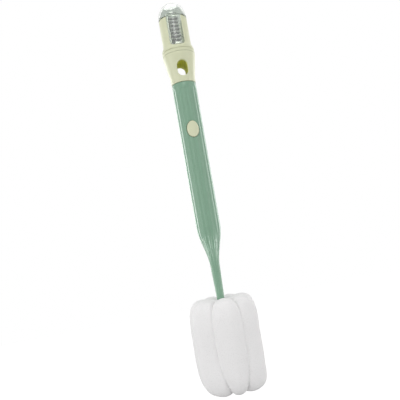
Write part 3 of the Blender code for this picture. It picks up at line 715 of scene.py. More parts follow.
def buildFoamSkin(leastPitShade=0.1, pitShadeSpread=0.6, dullness=0.9, pitDullness=0.05, strength=0.7):
    # fine open cells: small pits with painted shade in a pale soft surface, the shade stronger or weaker
    # by noise
    tree, given, result = newTree("foamSkin", {
        "Colour": midGrey, "Pit Shade": midGrey, "Cell Size": 0.0009, "Pit Share": 0.35,
        "Pit Depth": 0.0002, "Cloud Size": 0.015,
    }, skinResults)
    place = objectPlace(tree)
    wires = {"Vector": place, "Scale": 1.0 / given["Cell Size"], "Randomness": 1.0}
    cells = outOf(tree, "ShaderNodeTexVoronoi", wires, "Distance")
    pits = outOf(tree, "ShaderNodeMapRange", {
        "Value": cells, "From Min": 0.0, "From Max": given["Pit Share"], "To Min": 1.0, "To Max": 0.0,
    }, interpolation_type="SMOOTHSTEP")
    # painted shade in the pits; noise makes it stronger in some places and weaker in others
    pitShadeAmount = noiseOf(place, given["Cloud Size"], 2.0).to("MULTIPLY_ADD", pitShadeSpread, leastPitShade)
    shade = pits * pitShadeAmount
    colour = mixColours(shade, given["Colour"], given["Pit Shade"])
    roughness = shade.to("MULTIPLY_ADD", pitDullness, dullness)
    giveSkin(result, colour, roughness, pits * -1.0, given["Pit Depth"], strength)
    return tree


def newMaterial(name, plain):
    # plain holds what is the same all over, set on the shader's own sockets
    material = bpy.data.materials.new(name)
    material.use_nodes = True
    shader = material.node_tree.nodes["Principled BSDF"]
    for key, value in plain.items():
        shader.inputs[key].default_value = value
    return material, material.node_tree, shader


def dressShader(tree, shader, group, values):
    skin = addNode(tree, "ShaderNodeGroup", values, node_tree=group)
    for label, socket in (("Colour", "Base Color"), ("Roughness", "Roughness"), ("Normal", "Normal")):
        tree.links.new(skin.outputs[label], shader.inputs[socket])
    return skin


plasticGloss = {"IOR": 1.46}

creamLook = {
    "Colour": screenColour(215, 218, 186),
    "Cloud Colour": screenColour(210, 213, 180),
    "Cloud Size": 0.014,
    "Grain Size": 0.0006,
    "Grain Height": 0.00001,
    "Roughness": 0.36,
    "Roughness Spread": 0.10,
}
creamShades = {
    "holeShade": screenColour(212, 214, 100),       # light that bounced between the hole's own walls
    "insideShade": screenColour(244, 246, 228),     # light that came through the cap's thin wall
    "seamShade": screenColour(104, 112, 92),        # painted shadow between the ears and the dome, and along the collar's groove
}
shadeDullness = 0.95            # roughness where one of these shades is full

greenLook = {
    "Colour": screenColour(129, 165, 141),
    "Cloud Colour": screenColour(124, 161, 136),
    "Cloud Size": 0.020,
    "Grain Size": 0.0005,
    "Grain Height": 0.000006,
    "Roughness": 0.27,
    "Roughness Spread": 0.08,
}

whiteLook = {
    "Colour": screenColour(226, 228, 220),
    "Cloud Colour": screenColour(220, 222, 214),
    "Cloud Size": 0.010,
    "Grain Size": 0.0005,
    "Grain Height": 0.00001,
    "Roughness": 0.40,
    "Roughness Spread": 0.08,
}

clearLook = {
    "outside": screenColour(250, 252, 249),
    "inside": screenColour(166, 176, 167),
    "through": screenColour(250, 252, 249),
    "shader": {"Roughness": 0.02, "IOR": 1.49, "Transmission Weight": 0.90},    # a little milky
}

steelLook = {
    "Colour": screenColour(156, 158, 161),
    "Cloud Colour": screenColour(126, 128, 131),
    "Cloud Size": 0.002,
    "Grain Size": 0.0003,
    "Grain Height": 0.000004,
    "Roughness": 0.34,
    "Roughness Spread": 0.15,
}

bristleLook = {
    # the root colour is painted shade, where the strands shade each other
    "root": screenColour(110, 122, 113),
    "tip": screenColour(236, 241, 235),
    "tipStart": 0.97,
    "tipBlend": 0.25,
    "patchesPerMetre": 900.0,
    "patchSway": 0.12,
}

foamLook = {
    "Colour": screenColour(240, 239, 239),
    # the pit colour is painted shade inside the open cells
    "Pit Shade": screenColour(205, 204, 204),
    "Cell Size": 0.0010,
    "Pit Share": 0.40,
    "Pit Depth": 0.00015,
    "Cloud Size": 0.016,
}


def skinnedMaterial(name, group, look, plain):
    material, tree, shader = newMaterial(name, plain)
    dressShader(tree, shader, group, look)
    return material


def creamMaterial():
    # each attribute marks where a painted shade or painted light takes over the colour, dull and without
    # the grain's gloss
    material, tree, shader = newMaterial("creamPlastic", plasticGloss)
    skin = dressShader(tree, shader, mouldedSkin, creamLook)
    colour = Wire(tree, skin.outputs["Colour"])
    dullness = Wire(tree, skin.outputs["Roughness"])
    for name, shadeColour in creamShades.items():
        share = markOf(tree, name)
        colour = mixColours(share, colour, shadeColour)
        wires = {0: share, 2: dullness, 3: shadeDullness}
        dullness = outOf(tree, "ShaderNodeMix", wires, data_type="FLOAT")
    colour.into(shader.inputs["Base Color"])
    dullness.into(shader.inputs["Roughness"])
    return material


def clearMaterial():
    # the attribute innerWall tints the inside; lamps shine through, so that the brush inside is lit
    material, tree, shader = newMaterial("clearPlastic", clearLook["shader"])
    tint = mixColours(markOf(tree, "innerWall"), clearLook["outside"], clearLook["inside"])
    tint.into(shader.inputs["Base Color"])
    shadow = outOf(tree, "ShaderNodeLightPath", out="Is Shadow Ray")
    through = outOf(tree, "ShaderNodeBsdfTransparent", {"Color": clearLook["through"]})
    wires = {0: shadow, 1: Wire(tree, shader.outputs[0]), 2: through}
    outOf(tree, "ShaderNodeMixShader", wires).into(tree.nodes["Material Output"].inputs["Surface"])
    return material


def bristleMaterial():
    # strands take a painted shade down among their neighbours, and keep the nylon's pale colour at their
    # cut tips
    look = bristleLook
    material, tree, shader = newMaterial("nylonBristle", {"Roughness": 0.45, "IOR": 1.5})
    wires = {"Vector": objectPlace(tree), "Scale": look["patchesPerMetre"], "Detail": 1.0}
    patches = outOf(tree, "ShaderNodeTexNoise", wires)
    paleness = outOf(tree, "ShaderNodeMapRange", {
        "Value": markOf(tree, "tipShare") + swayOf(patches, look["patchSway"]),
        "From Min": look["tipStart"] - look["tipBlend"], "From Max": look["tipStart"],
        "To Min": 0.0, "To Max": 1.0,
    })
    mixColours(paleness, look["root"], look["tip"]).into(shader.inputs["Base Color"])
    return material


mouldedSkin = buildMouldedSkin()
foamSkin = buildFoamSkin()
cream = creamMaterial()
green = skinnedMaterial("greenPlastic", mouldedSkin, greenLook, plasticGloss)
white = skinnedMaterial("whitePlastic", mouldedSkin, whiteLook, plasticGloss)
steel = skinnedMaterial("springSteel", mouldedSkin, steelLook, {"Metallic": 1.0, **plasticGloss})
clear = clearMaterial()
nylon = bristleMaterial()
foam = skinnedMaterial("whiteFoam", foamSkin, foamLook, {"Specular IOR Level": 0.2})
print("finishes made:", len(bpy.data.materials), "materials")


# Collar with the hang hole, and the plug tube that goes into the handle

collar = {
    "holeWidth": 0.0088,
    "holeHeight": 0.0124,
    "holeLip": 0.0006,
    "holeBackLip": 0.0030,
    "holeBackRise": 0.0008,         # its back end opens upwards a little
    "shadeMargin": 0.1,             # of the lip, round the hole
    "shadeDepth": 2.5,              # of the lip, down the hole's walls until the shade is full
    "aboveHole": 0.0160,
    "belowHole": 0.0110,
    "rimHeight": 0.0049,
    "rimBend": 0.0050,
    "seamGap": 0.00012,
    "beadHeight": 0.0028,           # a fine groove parts the top of the collar as a bead
    "beadBend": 0.0007,
    "grooveWidth": 0.0009,
    "grooveDepth": 0.00028,
    "grooveShade": 0.4,
    "waistStep": 0.00027,
    "waistHeight": 0.0052,
    "spigotRadius": 0.0103,
    "plugWall": 0.0020,
    "pocketFloor": 0.0022,
    "edge": 0.00035,
}


def makeCollar():
    size = collar
    radius = collarHigh.x
    gripRadius = handleHigh.x
    plugRadius = plugHigh.x
    pocket = plugRadius - size["plugWall"]
    waist = gripRadius + size["waistStep"]
    waistHeight = -size["belowHole"] + size["waistHeight"]
    pocketFloor = headLow.z - clearance
    base = headHigh.y + clearance
    edge = size["edge"]
    seat = sleeveLow.z - size["seamGap"]
    groove = seat - size["beadHeight"]
    half = size["grooveWidth"] / 2
    corners = [
        (0.0, pocketFloor, 0), (base, pocketFloor, edge), (base, collarHigh.z, edge),
        (size["spigotRadius"], collarHigh.z, edge),
        (size["spigotRadius"], seat, 0),
        (radius, seat, size["beadBend"]),
        (radius, groove + half, edge / 2), (radius - size["grooveDepth"], groove, edge / 2),
        (radius, groove - half, edge / 2),
        (radius, size["aboveHole"] - size["rimHeight"], size["rimBend"]),
        (waist, waistHeight, 2 * size["rimBend"]),
        (gripRadius, -size["belowHole"], edge),
        (plugRadius, -size["belowHole"], 0),
        (plugRadius, collarLow.z, edge),
        (pocket, collarLow.z, edge),
        (pocket, -size["belowHole"] - size["pocketFloor"], edge),
        (0.0, -size["belowHole"] - size["pocketFloor"], 0),
    ]
    profile = roundedProfile(corners, longest=fineRow)
    piece = addPiece("hangerCollar", turnedShape(profile, fineSteps))
    side = [
        point for point in profile
        if point.x >= gripRadius - hair and point.y < groove - half - edge
    ]
    wallRadius = sideRadius(side)
    bottom = -size["holeHeight"] / 2
    top = size["holeHeight"] / 2
    hole = slotOutline(size["holeWidth"], bottom, top)
    back = slotOutline(size["holeWidth"], bottom, top + size["holeBackRise"])
    cutter = lippedCutter(
        "holeCutter", hole, wallRadius, size["holeLip"], backOutline=back, backLip=size["holeBackLip"],
    )
    joinSolid(piece, cutter, "DIFFERENCE")
    reach = size["holeWidth"] / 2 + size["shadeMargin"] * size["holeLip"] + size["holeBackRise"]
    straight = (size["holeHeight"] - size["holeWidth"]) / 2

    def holeShade(vertex):
        # 0 on the outside, rising to 1 a little way down the hole's walls
        x, y, z = vertex.co
        if math.hypot(x, max(abs(z) - straight, 0.0)) > reach:
            return 0.0
        return smoothStep((wallRadius(z) - math.hypot(x, y)) / (size["shadeDepth"] * size["holeLip"]))

    # painted shadow along the bottom of the groove, at grooveShade of the full seam colour
    def seamShade(vertex):
        x, y, z = vertex.co
        aside = abs(math.hypot(x, y) - radius + size["grooveDepth"])
        return size["grooveShade"] if abs(z - groove) < half and aside < edge / 2 else 0.0

    markVertices(piece, "holeShade", holeShade)
    markVertices(piece, "seamShade", seamShade)
    return finishPiece(piece, "hanger", "collar", cream)


# Cap: a sleeve with two ears and a window, over a clear liner

cap = {
    "bore": 0.0106,
    "earRadius": 0.0119,
    "rim": 0.0006,
    "skirtHeight": 0.0057,
    "windowWidth": 0.0123,
    "windowBottom": 0.0193,
    "windowFoot": 0.0035,
    "windowTurn": -2.8,             # degrees that the pushed-on cap sits turned
    "windowLip": 0.0004,
    "earBend": 0.0011,
    "rebateHeight": 0.0006,         # the ears' tops step back under the dome
    "rebateDepth": 0.0002,
    "ledgeEdge": 0.0001,
    "flareRows": 14,
    "edge": 0.00035,
    "wall": 0.0012,
    "domeWall": 0.0016,
    "linerRadius": 0.0103,
    "linerTint": 0.50,              # of the dome's own
    "domeCentre": 0.0463,
    "domeRows": 26,
    "domeEdge": 0.0002,
    "linerEdge": 0.0003,
    "linerBend": 0.0008,
}


def windowOutline(grow, bendSteps=10, sideSteps=10, footSteps=4):
    # from the middle of the foot up the right side, over the ears' round corners, and mirrored
    size = cap
    half = size["windowWidth"] / 2 + grow
    bend = size["windowFoot"] + grow
    foot = size["windowBottom"] + size["windowFoot"]
    ear = size["earBend"]
    earStart = sleeveHigh.z - ear
    right = [((half - bend) * share, foot - bend) for share in sharesOf(footSteps)[1:-1]]
    right += arcPoints((half - bend, foot), bend, -90, 0, bendSteps)
    right += [(half, blendValue(foot, earStart, share)) for share in sharesOf(sideSteps)[1:]]
    right += arcPoints((half + ear, earStart), ear, 180, 100, bendSteps)[1:]
    corner = right[-1][0]
    top = sleeveHigh.z + runOver
    right += [(corner, top), (corner * 0.5, top)]
    return [(0.0, foot - bend)] + right + [(0.0, top)] + [(-x, z) for x, z in reversed(right)]


def makeCapSleeve():
    size = cap
    skirtTop = sleeveLow.z + size["skirtHeight"]
    rimTop = sleeveLow.z + size["rim"]
    ear = size["earRadius"]
    edge = size["edge"]
    flare = []
    for share in sharesOf(size["flareRows"]):
        radius = blendValue(ear, sleeveHigh.x, smoothStep(share))
        flare.append((radius, blendValue(skirtTop, rimTop, share), 0))
    recess = ear - size["rebateDepth"]
    ledge = sleeveHigh.z - size["rebateHeight"]
    thin = size["ledgeEdge"]
    corners = [
        (size["bore"], sleeveHigh.z, edge), (recess, sleeveHigh.z, thin), (recess, ledge, 0),
        (ear, ledge, thin), *flare,
        (sleeveHigh.x, sleeveLow.z, edge), (size["bore"], sleeveLow.z, edge),
    ]
    profile = roundedProfile(corners, longest=fineRow, ring=True)
    piece = addPiece("capSleeve", turnedShape(profile, fineSteps, ring=True))
    side = [point for point in profile if point.x >= ear - hair]
    cutter = lippedCutter("windowCutter", windowOutline, sideRadius(side), size["windowLip"])
    cutter.data.transform(Matrix.Rotation(math.radians(size["windowTurn"]), 4, "Z"))
    joinSolid(piece, cutter, "DIFFERENCE")
    # seamShade paints a shadow on the ears' stepped-back tops; insideShade paints light onto the bore,
    # as if it came through the thin wall
    markVertices(piece, "seamShade", lambda vertex: float(
        vertex.co.z > ledge - thin / 2 and vertex.co.xy.length < ear - thin
    ))
    markVertices(piece, "insideShade", lambda vertex: float(vertex.co.xy.length < size["bore"] + thin))
    return finishPiece(piece, "cap", "cap_sleeve", cream)


def makeCapDome():
    size = cap
    radius = domeHigh.x
    inner = size["linerRadius"] - size["wall"]
    shoulder = sleeveHigh.z + clearance
    middle = (0.0, size["domeCentre"])
    outside = arcPoints(middle, radius, 90, 0, size["domeRows"])
    inside = arcPoints(middle, radius - size["domeWall"], 0, 90, size["domeRows"])
    corners = [
        *[(x, z, 0) for x, z in outside],
        (radius, shoulder, size["domeEdge"]), (size["linerRadius"], shoulder, size["domeEdge"]),
        (size["linerRadius"], domeLow.z, size["linerEdge"]), (inner, domeLow.z, size["linerEdge"]),
        (inner, shoulder, size["linerBend"]),
        *[(x, z, 0) for x, z in inside],
    ]
    piece = turnedPiece("capDome", corners, steps=128, longest=0.0024)

    def innerWall(vertex):
        x, y, z = vertex.co
        outwards = Vector((x, y, max(z - size["domeCentre"], 0.0)))
        if vertex.normal.dot(outwards) >= 0:
            return 0.0
        return 1.0 if z > shoulder else size["linerTint"]

    markVertices(piece, "innerWall", innerWall)
    return finishPiece(piece, "cap", "cap_dome", clear)


# Small brush for gaps, under the cap

gapBrush = {
    "headWidth": 0.0086,
    "headThickness": 0.0018,
    "headBack": 0.0022,
    "headEdge": 0.0004,
    "headTurn": 6.0,                # degrees that its round base sits turned in the collar
    "footWidth": 0.0046,
    "footReach": 0.0054,
    "footTop": 0.0240,
    "sliceThickness": 0.0008,
    "sliceHalfWidth": 0.0039,
    "sliceTop": 0.0481,
    "sliceBend": 0.0006,
    "sliceEdge": 0.0002,
    "rootDepth": 0.0001,
    "tuftLength": 0.0052,
    "tuftRows": 7,
    "tuftColumns": 3,
    "rowPitch": 0.0030,
    "columnPitch": 0.0026,
    "firstRow": 0.02662,
    "tuftWidth": 0.0025,
    "tuftHeight": 0.0011,
    "strands": 60,
    "strandRadius": 0.00009,
    "splay": 0.06,
    "seed": 3,
}


def makeGapHead():
    size = gapBrush
    edge = size["headEdge"]
    radius = headHigh.y
    top = collarHigh.z
    piece = turnedPiece("gapBrushHead", [
        (0.0, top, 0), (radius, top, edge), (radius, headLow.z, edge), (0.0, headLow.z, 0),
    ], steps=96)
    outline = slotOutline(size["headWidth"], headLow.z + clearance, headHigh.z)
    back = size["headBack"]
    blade = roundedPlate("gapBrushBlade", outline, back - size["headThickness"], back, edge)
    joinSolid(piece, blade, "UNION")
    foot = blockOutline(size["footWidth"] / 2, headLow.z + clearance, size["footTop"], 2 * edge)
    block = roundedPlate("gapBrushFoot", foot, -size["footReach"], back - edge, edge)
    joinSolid(piece, block, "UNION")
    piece.data.transform(Matrix.Rotation(math.radians(size["headTurn"]), 4, "Z"))
    return finishPiece(piece, "hanger", "gap_brush_head", white)


def makeGapTufts():
    size = gapBrush
    back = size["headBack"] - size["headThickness"] - clearance
    front = back - size["sliceThickness"]
    backing = blockOutline(size["sliceHalfWidth"], tuftLow.z, size["sliceTop"], size["sliceBend"])
    piece = roundedPlate("gapBrushTufts", backing, front, back, size["sliceEdge"])
    # the backing takes the bristles' root colour: painted shade in the gaps between the tufts
    piece.data.materials.append(nylon)
    middle = size["firstRow"] + (size["tuftRows"] - 1) * size["rowPitch"] / 2
    runTree(piece, buildTuftTree(), {
        **size, "middle": (0.0, front + size["rootDepth"], middle), "bristle": nylon,
        "strandLength": size["tuftLength"] + size["rootDepth"],
    })
    piece.data.transform(Matrix.Rotation(math.radians(size["headTurn"]), 4, "Z"))
    return finishPiece(piece, "hanger", "gap_brush_bristles", None)


# Handle: fluted grip, taper, neck and the tip that the sponge head is pushed onto

handle = {
    "straight": 0.1217,
    "taper": 0.0338,
    "neck": 0.0317,
    "neckTopRadius": 0.00415,
    "neckEndRadius": 0.0031,
    "tipRadius": 0.0026,
    "tipChamfer": 0.0006,
    "wall": 0.0021,
    "boreDepth": 0.1187,
    "boreEnd": 0.0070,
    "plainBand": 0.0034,
    "fluteFade": 0.0022,
    "flutes": 16,
    "fluteDepth": 0.0004,
    "stepsPerFlute": 16,
    "mouthEdge": 0.0004,
    "windowLip": 0.0004,
    "notchEnd": -0.0040,            # along Y, where the latch's notch opens into the bore
    "boreRows": 30,
    "boreEndRows": 9,
    "fadeRows": 8,
    "gripRows": 44,
    "taperRows": 36,
    "neckRows": 16,
}


def handleRows():
    # (radius, height, flute share) down the outside, then up inside the bore
    size = handle
    radius = handleHigh.x
    straightEnd = handleHigh.z - size["straight"]
    taperEnd = straightEnd - size["taper"]
    shoulder = taperEnd - size["neck"]
    fadeStart = handleHigh.z - size["plainBand"]
    fadeEnd = fadeStart - size["fluteFade"]
    tip = size["tipRadius"]
    bore = radius - size["wall"]
    floor = handleHigh.z - size["boreDepth"]
    steps = sharesOf(size["boreRows"])[:-1]
    rows = [(bore, blendValue(handleHigh.z, floor, share), 0.0) for share in steps]
    for share in sharesOf(size["boreEndRows"]):
        swing = math.pi / 2 * share
        rows.append((bore * math.cos(swing), floor - size["boreEnd"] * math.sin(swing), 0.0))
    rows.reverse()
    for inset, depth in roundEdge(size["mouthEdge"]):
        rows.append((radius - inset, handleHigh.z - depth, 0.0))
    for share in sharesOf(size["fadeRows"]):
        rows.append((radius, blendValue(fadeStart, fadeEnd, share), smoothStep(share)))
    for share in sharesOf(size["gripRows"])[1:-1]:
        rows.append((radius, blendValue(fadeEnd, straightEnd, share), 1.0))
    for share in sharesOf(size["taperRows"]):
        here = blendValue(radius, size["neckTopRadius"], smoothStep(share))
        rows.append((here, blendValue(straightEnd, taperEnd, share), here / radius))
    for share in sharesOf(size["neckRows"])[1:]:
        here = blendValue(size["neckTopRadius"], size["neckEndRadius"], share)
        rows.append((here, blendValue(taperEnd, shoulder, share), here / radius))
    return rows + [
        (tip, shoulder, 0.0), (tip, (shoulder + handleLow.z) / 2, 0.0),
        (tip, handleLow.z + size["tipChamfer"], 0.0), (tip - size["tipChamfer"], handleLow.z, 0.0),
        (0.0, handleLow.z, 0.0),
    ]


def makeHandle():
    size = handle
    rows = handleRows()
    steps = size["stepsPerFlute"] * size["flutes"]
    piece = addPiece("handleShell", turnedShape([row[:2] for row in rows], steps))
    shares = []
    for radius, _, share in rows:
        shares += [share] * (steps if radius > onAxis else 1)
    storeValues(piece, "fluteShare", shares)
    runTree(piece, buildFluteTree(), size)
    middle = (buttonLow.z + buttonHigh.z) / 2
    window = ovalOutline(button["width"] + 2 * clearance, button["height"] + 2 * clearance, middle)
    cutter = lippedCutter(
        "buttonWindowCutter", window, lambda height: handleHigh.x, size["windowLip"],
        innerEnd=-(handleHigh.x - size["wall"]) / 2,
    )
    joinSolid(piece, cutter, "DIFFERENCE")
    low = Vector((latchLow.x - clearance, latchLow.y - clearance, latch["catchHeight"] - latch["ramp"]))
    high = Vector((latchHigh.x + clearance, size["notchEnd"], latch["catchHeight"] + 2 * clearance))
    cutBox(piece, "latchNotchCutter", low, high)
    return finishPiece(piece, "handle", "handle_shell", green)


# Push button with the flange that keeps it in

button = {
    "width": 0.0100,
    "height": 0.0136,
    "edge": 0.0006,
    "flangeWidth": 0.0092,
    "flangeHeight": 0.0164,
    "flangeRadius": 0.0079,
    "edgeAngles": (90, 68, 45, 22, 0),
    "faceShares": (0.9, 0.75, 0.6, 0.45, 0.3, 0.15, 0.04),
    "flangeShares": (1.0, 0.8, 0.6, 0.4, 0.2, 0.05),
}


def makeButton():
    size = button
    crown = -buttonLow.y
    middle = (buttonLow.z + buttonHigh.z) / 2
    back = buttonHigh.y
    outline = ovalOutline(size["width"], size["height"], middle)

    def faceRing(points, radius, share=1.0, depth=0.0):
        # on a cylinder of that radius, drawn in to a share of its size
        ring = [(x * share, middle + (z - middle) * share) for x, z in points]
        return [(x, -math.sqrt(radius ** 2 - x * x) + depth, z) for x, z in ring]

    rings = [[(x, back, z) for x, z in outline(0.0)]]
    for inset, depth in roundEdge(size["edge"], size["edgeAngles"]):
        rings.append(faceRing(outline(-inset), crown, depth=depth))
    for share in size["faceShares"]:
        rings.append(faceRing(outline(-size["edge"]), crown, share))
    piece = addPiece("releaseButton", loftShape(rings))
    half = size["flangeHeight"] / 2
    flange = slotOutline(size["flangeWidth"], middle - half, middle + half)(0.0)
    plate = [[(x, back, z) for x, z in flange]]
    for share in size["flangeShares"]:
        plate.append(faceRing(flange, size["flangeRadius"], share))
    joinSolid(piece, addPiece("buttonFlange", loftShape(plate)), "UNION")
    return finishPiece(piece, "button", "release_button", cream)


# Latch leaf and plug, hidden in the handle's mouth

latch = {
    "thickness": 0.0005,
    "bend": 0.0007,
    "catchHeight": -0.0395,
    "ramp": 0.0032,
    "edge": 0.0001,
}


def makeLatch():
    size = latch
    half = size["thickness"] / 2
    leaf = latchHigh.y - half
    reach = latchLow.y + half
    catch = size["catchHeight"]
    path = roundedProfile([
        (leaf, latchHigh.z, 0), (leaf, catch, size["bend"]), (reach, catch, size["bend"]),
        (leaf, catch - size["ramp"], size["bend"]), (leaf, latchLow.z, 0),
    ], longest=0.002)
    section = blockOutline(latchHigh.x, -half, half, size["edge"], arcSteps=1)(0.0)
    rings = []
    for index, point in enumerate(path):
        along = path[min(index + 1, len(path) - 1)] - path[max(index - 1, 0)]
        along.normalize()
        rings.append([
            (across, point.x - along.y * out, point.y + along.x * out) for across, out in section
        ])
    piece = addPiece("latchSpring", loftShape(rings))
    return finishPiece(piece, "hanger", "latch_spring", steel)


plug = {
    "pocketRadius": 0.0056,
    "flange": 0.0045,
    "seatRadius": 0.0012,
    "seatDepth": 0.0103,
    "edge": 0.0004,
    "slotHeight": 0.0039,
}


def makePlug():
    size = plug
    edge = size["edge"]
    flangeTop = plugLow.z + size["flange"]
    seat = plugLow.z + size["seatDepth"]
    piece = turnedPiece("brushPlug", [
        (0.0, plugHigh.z, 0), (size["pocketRadius"], plugHigh.z, edge),
        (size["pocketRadius"], flangeTop, 0), (plugHigh.x, flangeTop, edge),
        (plugHigh.x, plugLow.z, edge), (size["seatRadius"], plugLow.z, edge),
        (size["seatRadius"], seat, 0), (0.0, seat, 0),
    ], steps=96)
    front = latchHigh.y - latch["thickness"] - clearance
    low = Vector((latchLow.x - clearance, front, plugLow.z - runOver))
    high = Vector((latchHigh.x + clearance, latchHigh.y + clearance, plugLow.z + size["slotHeight"]))
    cutBox(piece, "leafSlotCutter", low, high)
    return finishPiece(piece, "hanger", "brush_plug", white)


# Straw brush, kept in the handle

straw = {
    "strandRadius": 0.00045,
    "wireTurns": 14.0,
    "brushTurns": 15.0,
    "reach": 0.0040,
    "filaments": 1500,
    "filamentRadius": 0.00006,
    "seed": 5,
}


def makeStrawWire():
    piece = addPiece("strawBrushWire", bmesh.new())
    runTree(piece, buildWireTree(), {
        **straw, "top": wireHigh.z, "length": wireHigh.z - wireLow.z, "wire": steel,
    })
    return finishPiece(piece, "hanger", "straw_brush_wire", None)


def makeStrawBristles():
    piece = addPiece("strawBrushBristles", bmesh.new())
    runTree(piece, buildStrawTree(), {
        **straw, "top": strawHigh.z, "length": strawHigh.z - strawLow.z, "bristle": nylon, "wire": steel,
    })
    return finishPiece(piece, "hanger", "straw_brush_bristles", None)


# Sponge head: barbed core and lobed foam

core = {
    "wall": 0.0016,
    "barbs": 5,
    "barbReach": 0.0015,
    "barbPitch": 0.0100,
    "barbStart": 0.0040,
    "barbSlope": 0.0045,
    "barbEdge": 0.0002,
    "barbBend": 0.0005,
    "discThickness": 0.0018,
    "discBend": 0.0006,
    "edge": 0.0004,
}


def makeCore():
    size = core
    edge = size["edge"]
    socket = handle["tipRadius"] + clearance
    radius = socket + size["wall"]
    discTop = coreLow.z + size["discThickness"]
    corners = [
        (0.0, handleLow.z - clearance, 0), (socket, handleLow.z - clearance, 0),
        (socket, coreHigh.z, edge), (radius, coreHigh.z, edge),
    ]
    for barb in range(size["barbs"]):
        top = coreHigh.z - size["barbStart"] - size["barbPitch"] * barb
        corners += [
            (radius, top, 0), (radius + size["barbReach"], top, size["barbEdge"]),
            (radius, top - size["barbSlope"], size["barbBend"]),
        ]
    corners += [
        (radius, discTop, size["discBend"]), (coreHigh.x, discTop, edge),
        (coreHigh.x, coreLow.z, edge), (0.0, coreLow.z, 0),
    ]
    piece = turnedPiece("spongeCore", corners, steps=96)
    return finishPiece(piece, "sponge_head", "sponge_core", white)


sponge = {
    "radius": 0.0297,
    "height": 0.0830,
    "overlap": 0.0060,
    "topSquareness": 5.0,
    "bottomSquareness": 5.2,
    "lobes": 7,
    "turn": -3.5,
    "gather": 0.19,                 # the front lobe narrows towards the bottom
    "gatheredTurn": -1.4,
    "gatherFrom": 0.15,
    "flatness": 0.42,
    "groove": 0.0026,
    "grooveEnd": 0.0048,
    "deepensFrom": 0.45,
    "deepensTo": 0.95,
    "grooveFade": 0.0130,
    "topDimple": 0.0045,
    "bottomDimple": 0.0080,
    "bow": 0.0005,
    "unevenness": 0.0012,
    "lumpSize": 0.018,
    "grain": 0.00016,
    "grainSize": 0.0018,
    "plainMiddle": 0.0040,          # radius within which the end faces stay even
    "rows": 170,
    "stepsPerLobe": 48,
}


def spongeRows():
    # (radius, height, groove depth, gather, outside) from the top dimple to the bottom, then inside
    size = sponge
    shoulder = handleHigh.z - handle["straight"] - handle["taper"] - handle["neck"]
    half = size["height"] / 2
    middle = shoulder + size["overlap"] - half
    neckLip = handle["neckEndRadius"] + clearance
    discLip = coreHigh.x + clearance
    ends = {
        True: (size["topSquareness"], size["topDimple"], neckLip),
        False: (size["bottomSquareness"], size["bottomDimple"], discLip),
    }
    rows = []
    for share in sharesOf(size["rows"]):
        swing = math.radians(blendValue(90, -90, share))
        squareness, dimple, lip = ends[swing > 0]
        radius = max(size["radius"] * abs(math.cos(swing)) ** (2 / squareness), lip)
        rise = half * abs(math.sin(swing)) ** (2 / squareness)
        rise -= dimple * (1 - radius / size["radius"]) ** 2
        below = -math.copysign(rise, swing) / half
        deepens = (abs(below) - size["deepensFrom"]) / (size["deepensTo"] - size["deepensFrom"])
        depth = blendValue(size["groove"], size["grooveEnd"], smoothStep(deepens))
        depth *= smoothStep((radius - lip) / size["grooveFade"])
        gather = smoothStep((below - size["gatherFrom"]) / (1 - size["gatherFrom"]))
        outside = smoothStep(radius / size["plainMiddle"] - 1)
        rows.append((radius, middle - half * below, depth, gather, outside))
    discSeat = coreLow.z + core["discThickness"] + clearance
    bore = handle["tipRadius"] + core["wall"] + core["barbReach"] + 2 * clearance
    ceiling = coreHigh.z + clearance
    inside = [(discLip, discSeat), (bore, discSeat), (bore, ceiling), (neckLip, ceiling)]
    rows += [(radius, height, 0.0, 0.0, 0.0) for radius, height in inside]
    return rows, middle, half


def makeSponge():
    size = sponge
    rows, middle, half = spongeRows()
    steps = size["stepsPerLobe"] * size["lobes"]
    piece = addPiece("spongeFoam", turnedShape([row[:2] for row in rows], steps, ring=True))
    for column, name in ((2, "groove"), (3, "gather"), (4, "outside")):
        storeValues(piece, name, [row[column] for row in rows for _ in range(steps)])
    runTree(piece, buildLobeTree(), {
        **size, "turn": math.radians(size["turn"]), "gatheredTurn": math.radians(size["gatheredTurn"]),
    })
    for index, vertex in enumerate(piece.data.vertices):
        if rows[index // steps][4]:
            reach = vertex.co.xy.length / size["radius"]
            vertex.co.x -= size["bow"] * (1 - 2 * ((vertex.co.z - middle) / half) ** 2) * reach
    finishPiece(piece, "sponge_head", "sponge", foam, sharpAngle=75)
    return piece


pieces = []
for make in (
    makeCollar, makeCapSleeve, makeCapDome, makeGapHead, makeGapTufts, makeHandle, makeButton,
    makeLatch, makePlug, makeStrawWire, makeStrawBristles, makeCore, makeSponge,
):
    made = make()
    made.data.calc_loop_triangles()
    print("made", made.name, "with", len(made.data.loop_triangles), "triangles")
    pieces.append(made)


# Stage, lamps and camera

photo = {
    "size": 400,
    "metresPerPixel": 0.00085,      # on the brush's axis
    "axisTop": (169.6, 3.15),       # the axis where the measured stations begin
    "lean": 9.83,                   # degrees that the brush leans, its cap to the left
    "topHeight": 0.05945,           # height of the brush at the first station
    "levelStation": 250,            # pixels along the axis down to the camera's own height
    "distance": 0.447,
    "turn": 8.3,                    # degrees that the button is turned to the right
    "sensorWidth": 36.0,
    "clipStart": 0.01,
    "clipEnd": 50.0,
}

stage = {
    "floorDrop": 0.25,
    "floorSize": 6.0,
    "glow": 0.70,
    "floorColour": screenColour(196, 196, 196),
    "worldLevel": 0.70,
}

lamps = {
    "leftLamp": {"place": (-0.95, -0.48, 0.15), "aim": (0, 0, -0.12), "size": 0.8, "power": 4.05},
    "rightLamp": {"place": (0.80, -0.65, 0.15), "aim": (0, 0, -0.12), "size": 0.8, "power": 3.0},
    "lowLamp": {
        "place": (0.062, -0.526, -0.26), "aim": (0, 0, 0.023), "size": 0.15, "power": 15.0,
        "only": "gapBrushHead",
    },
}

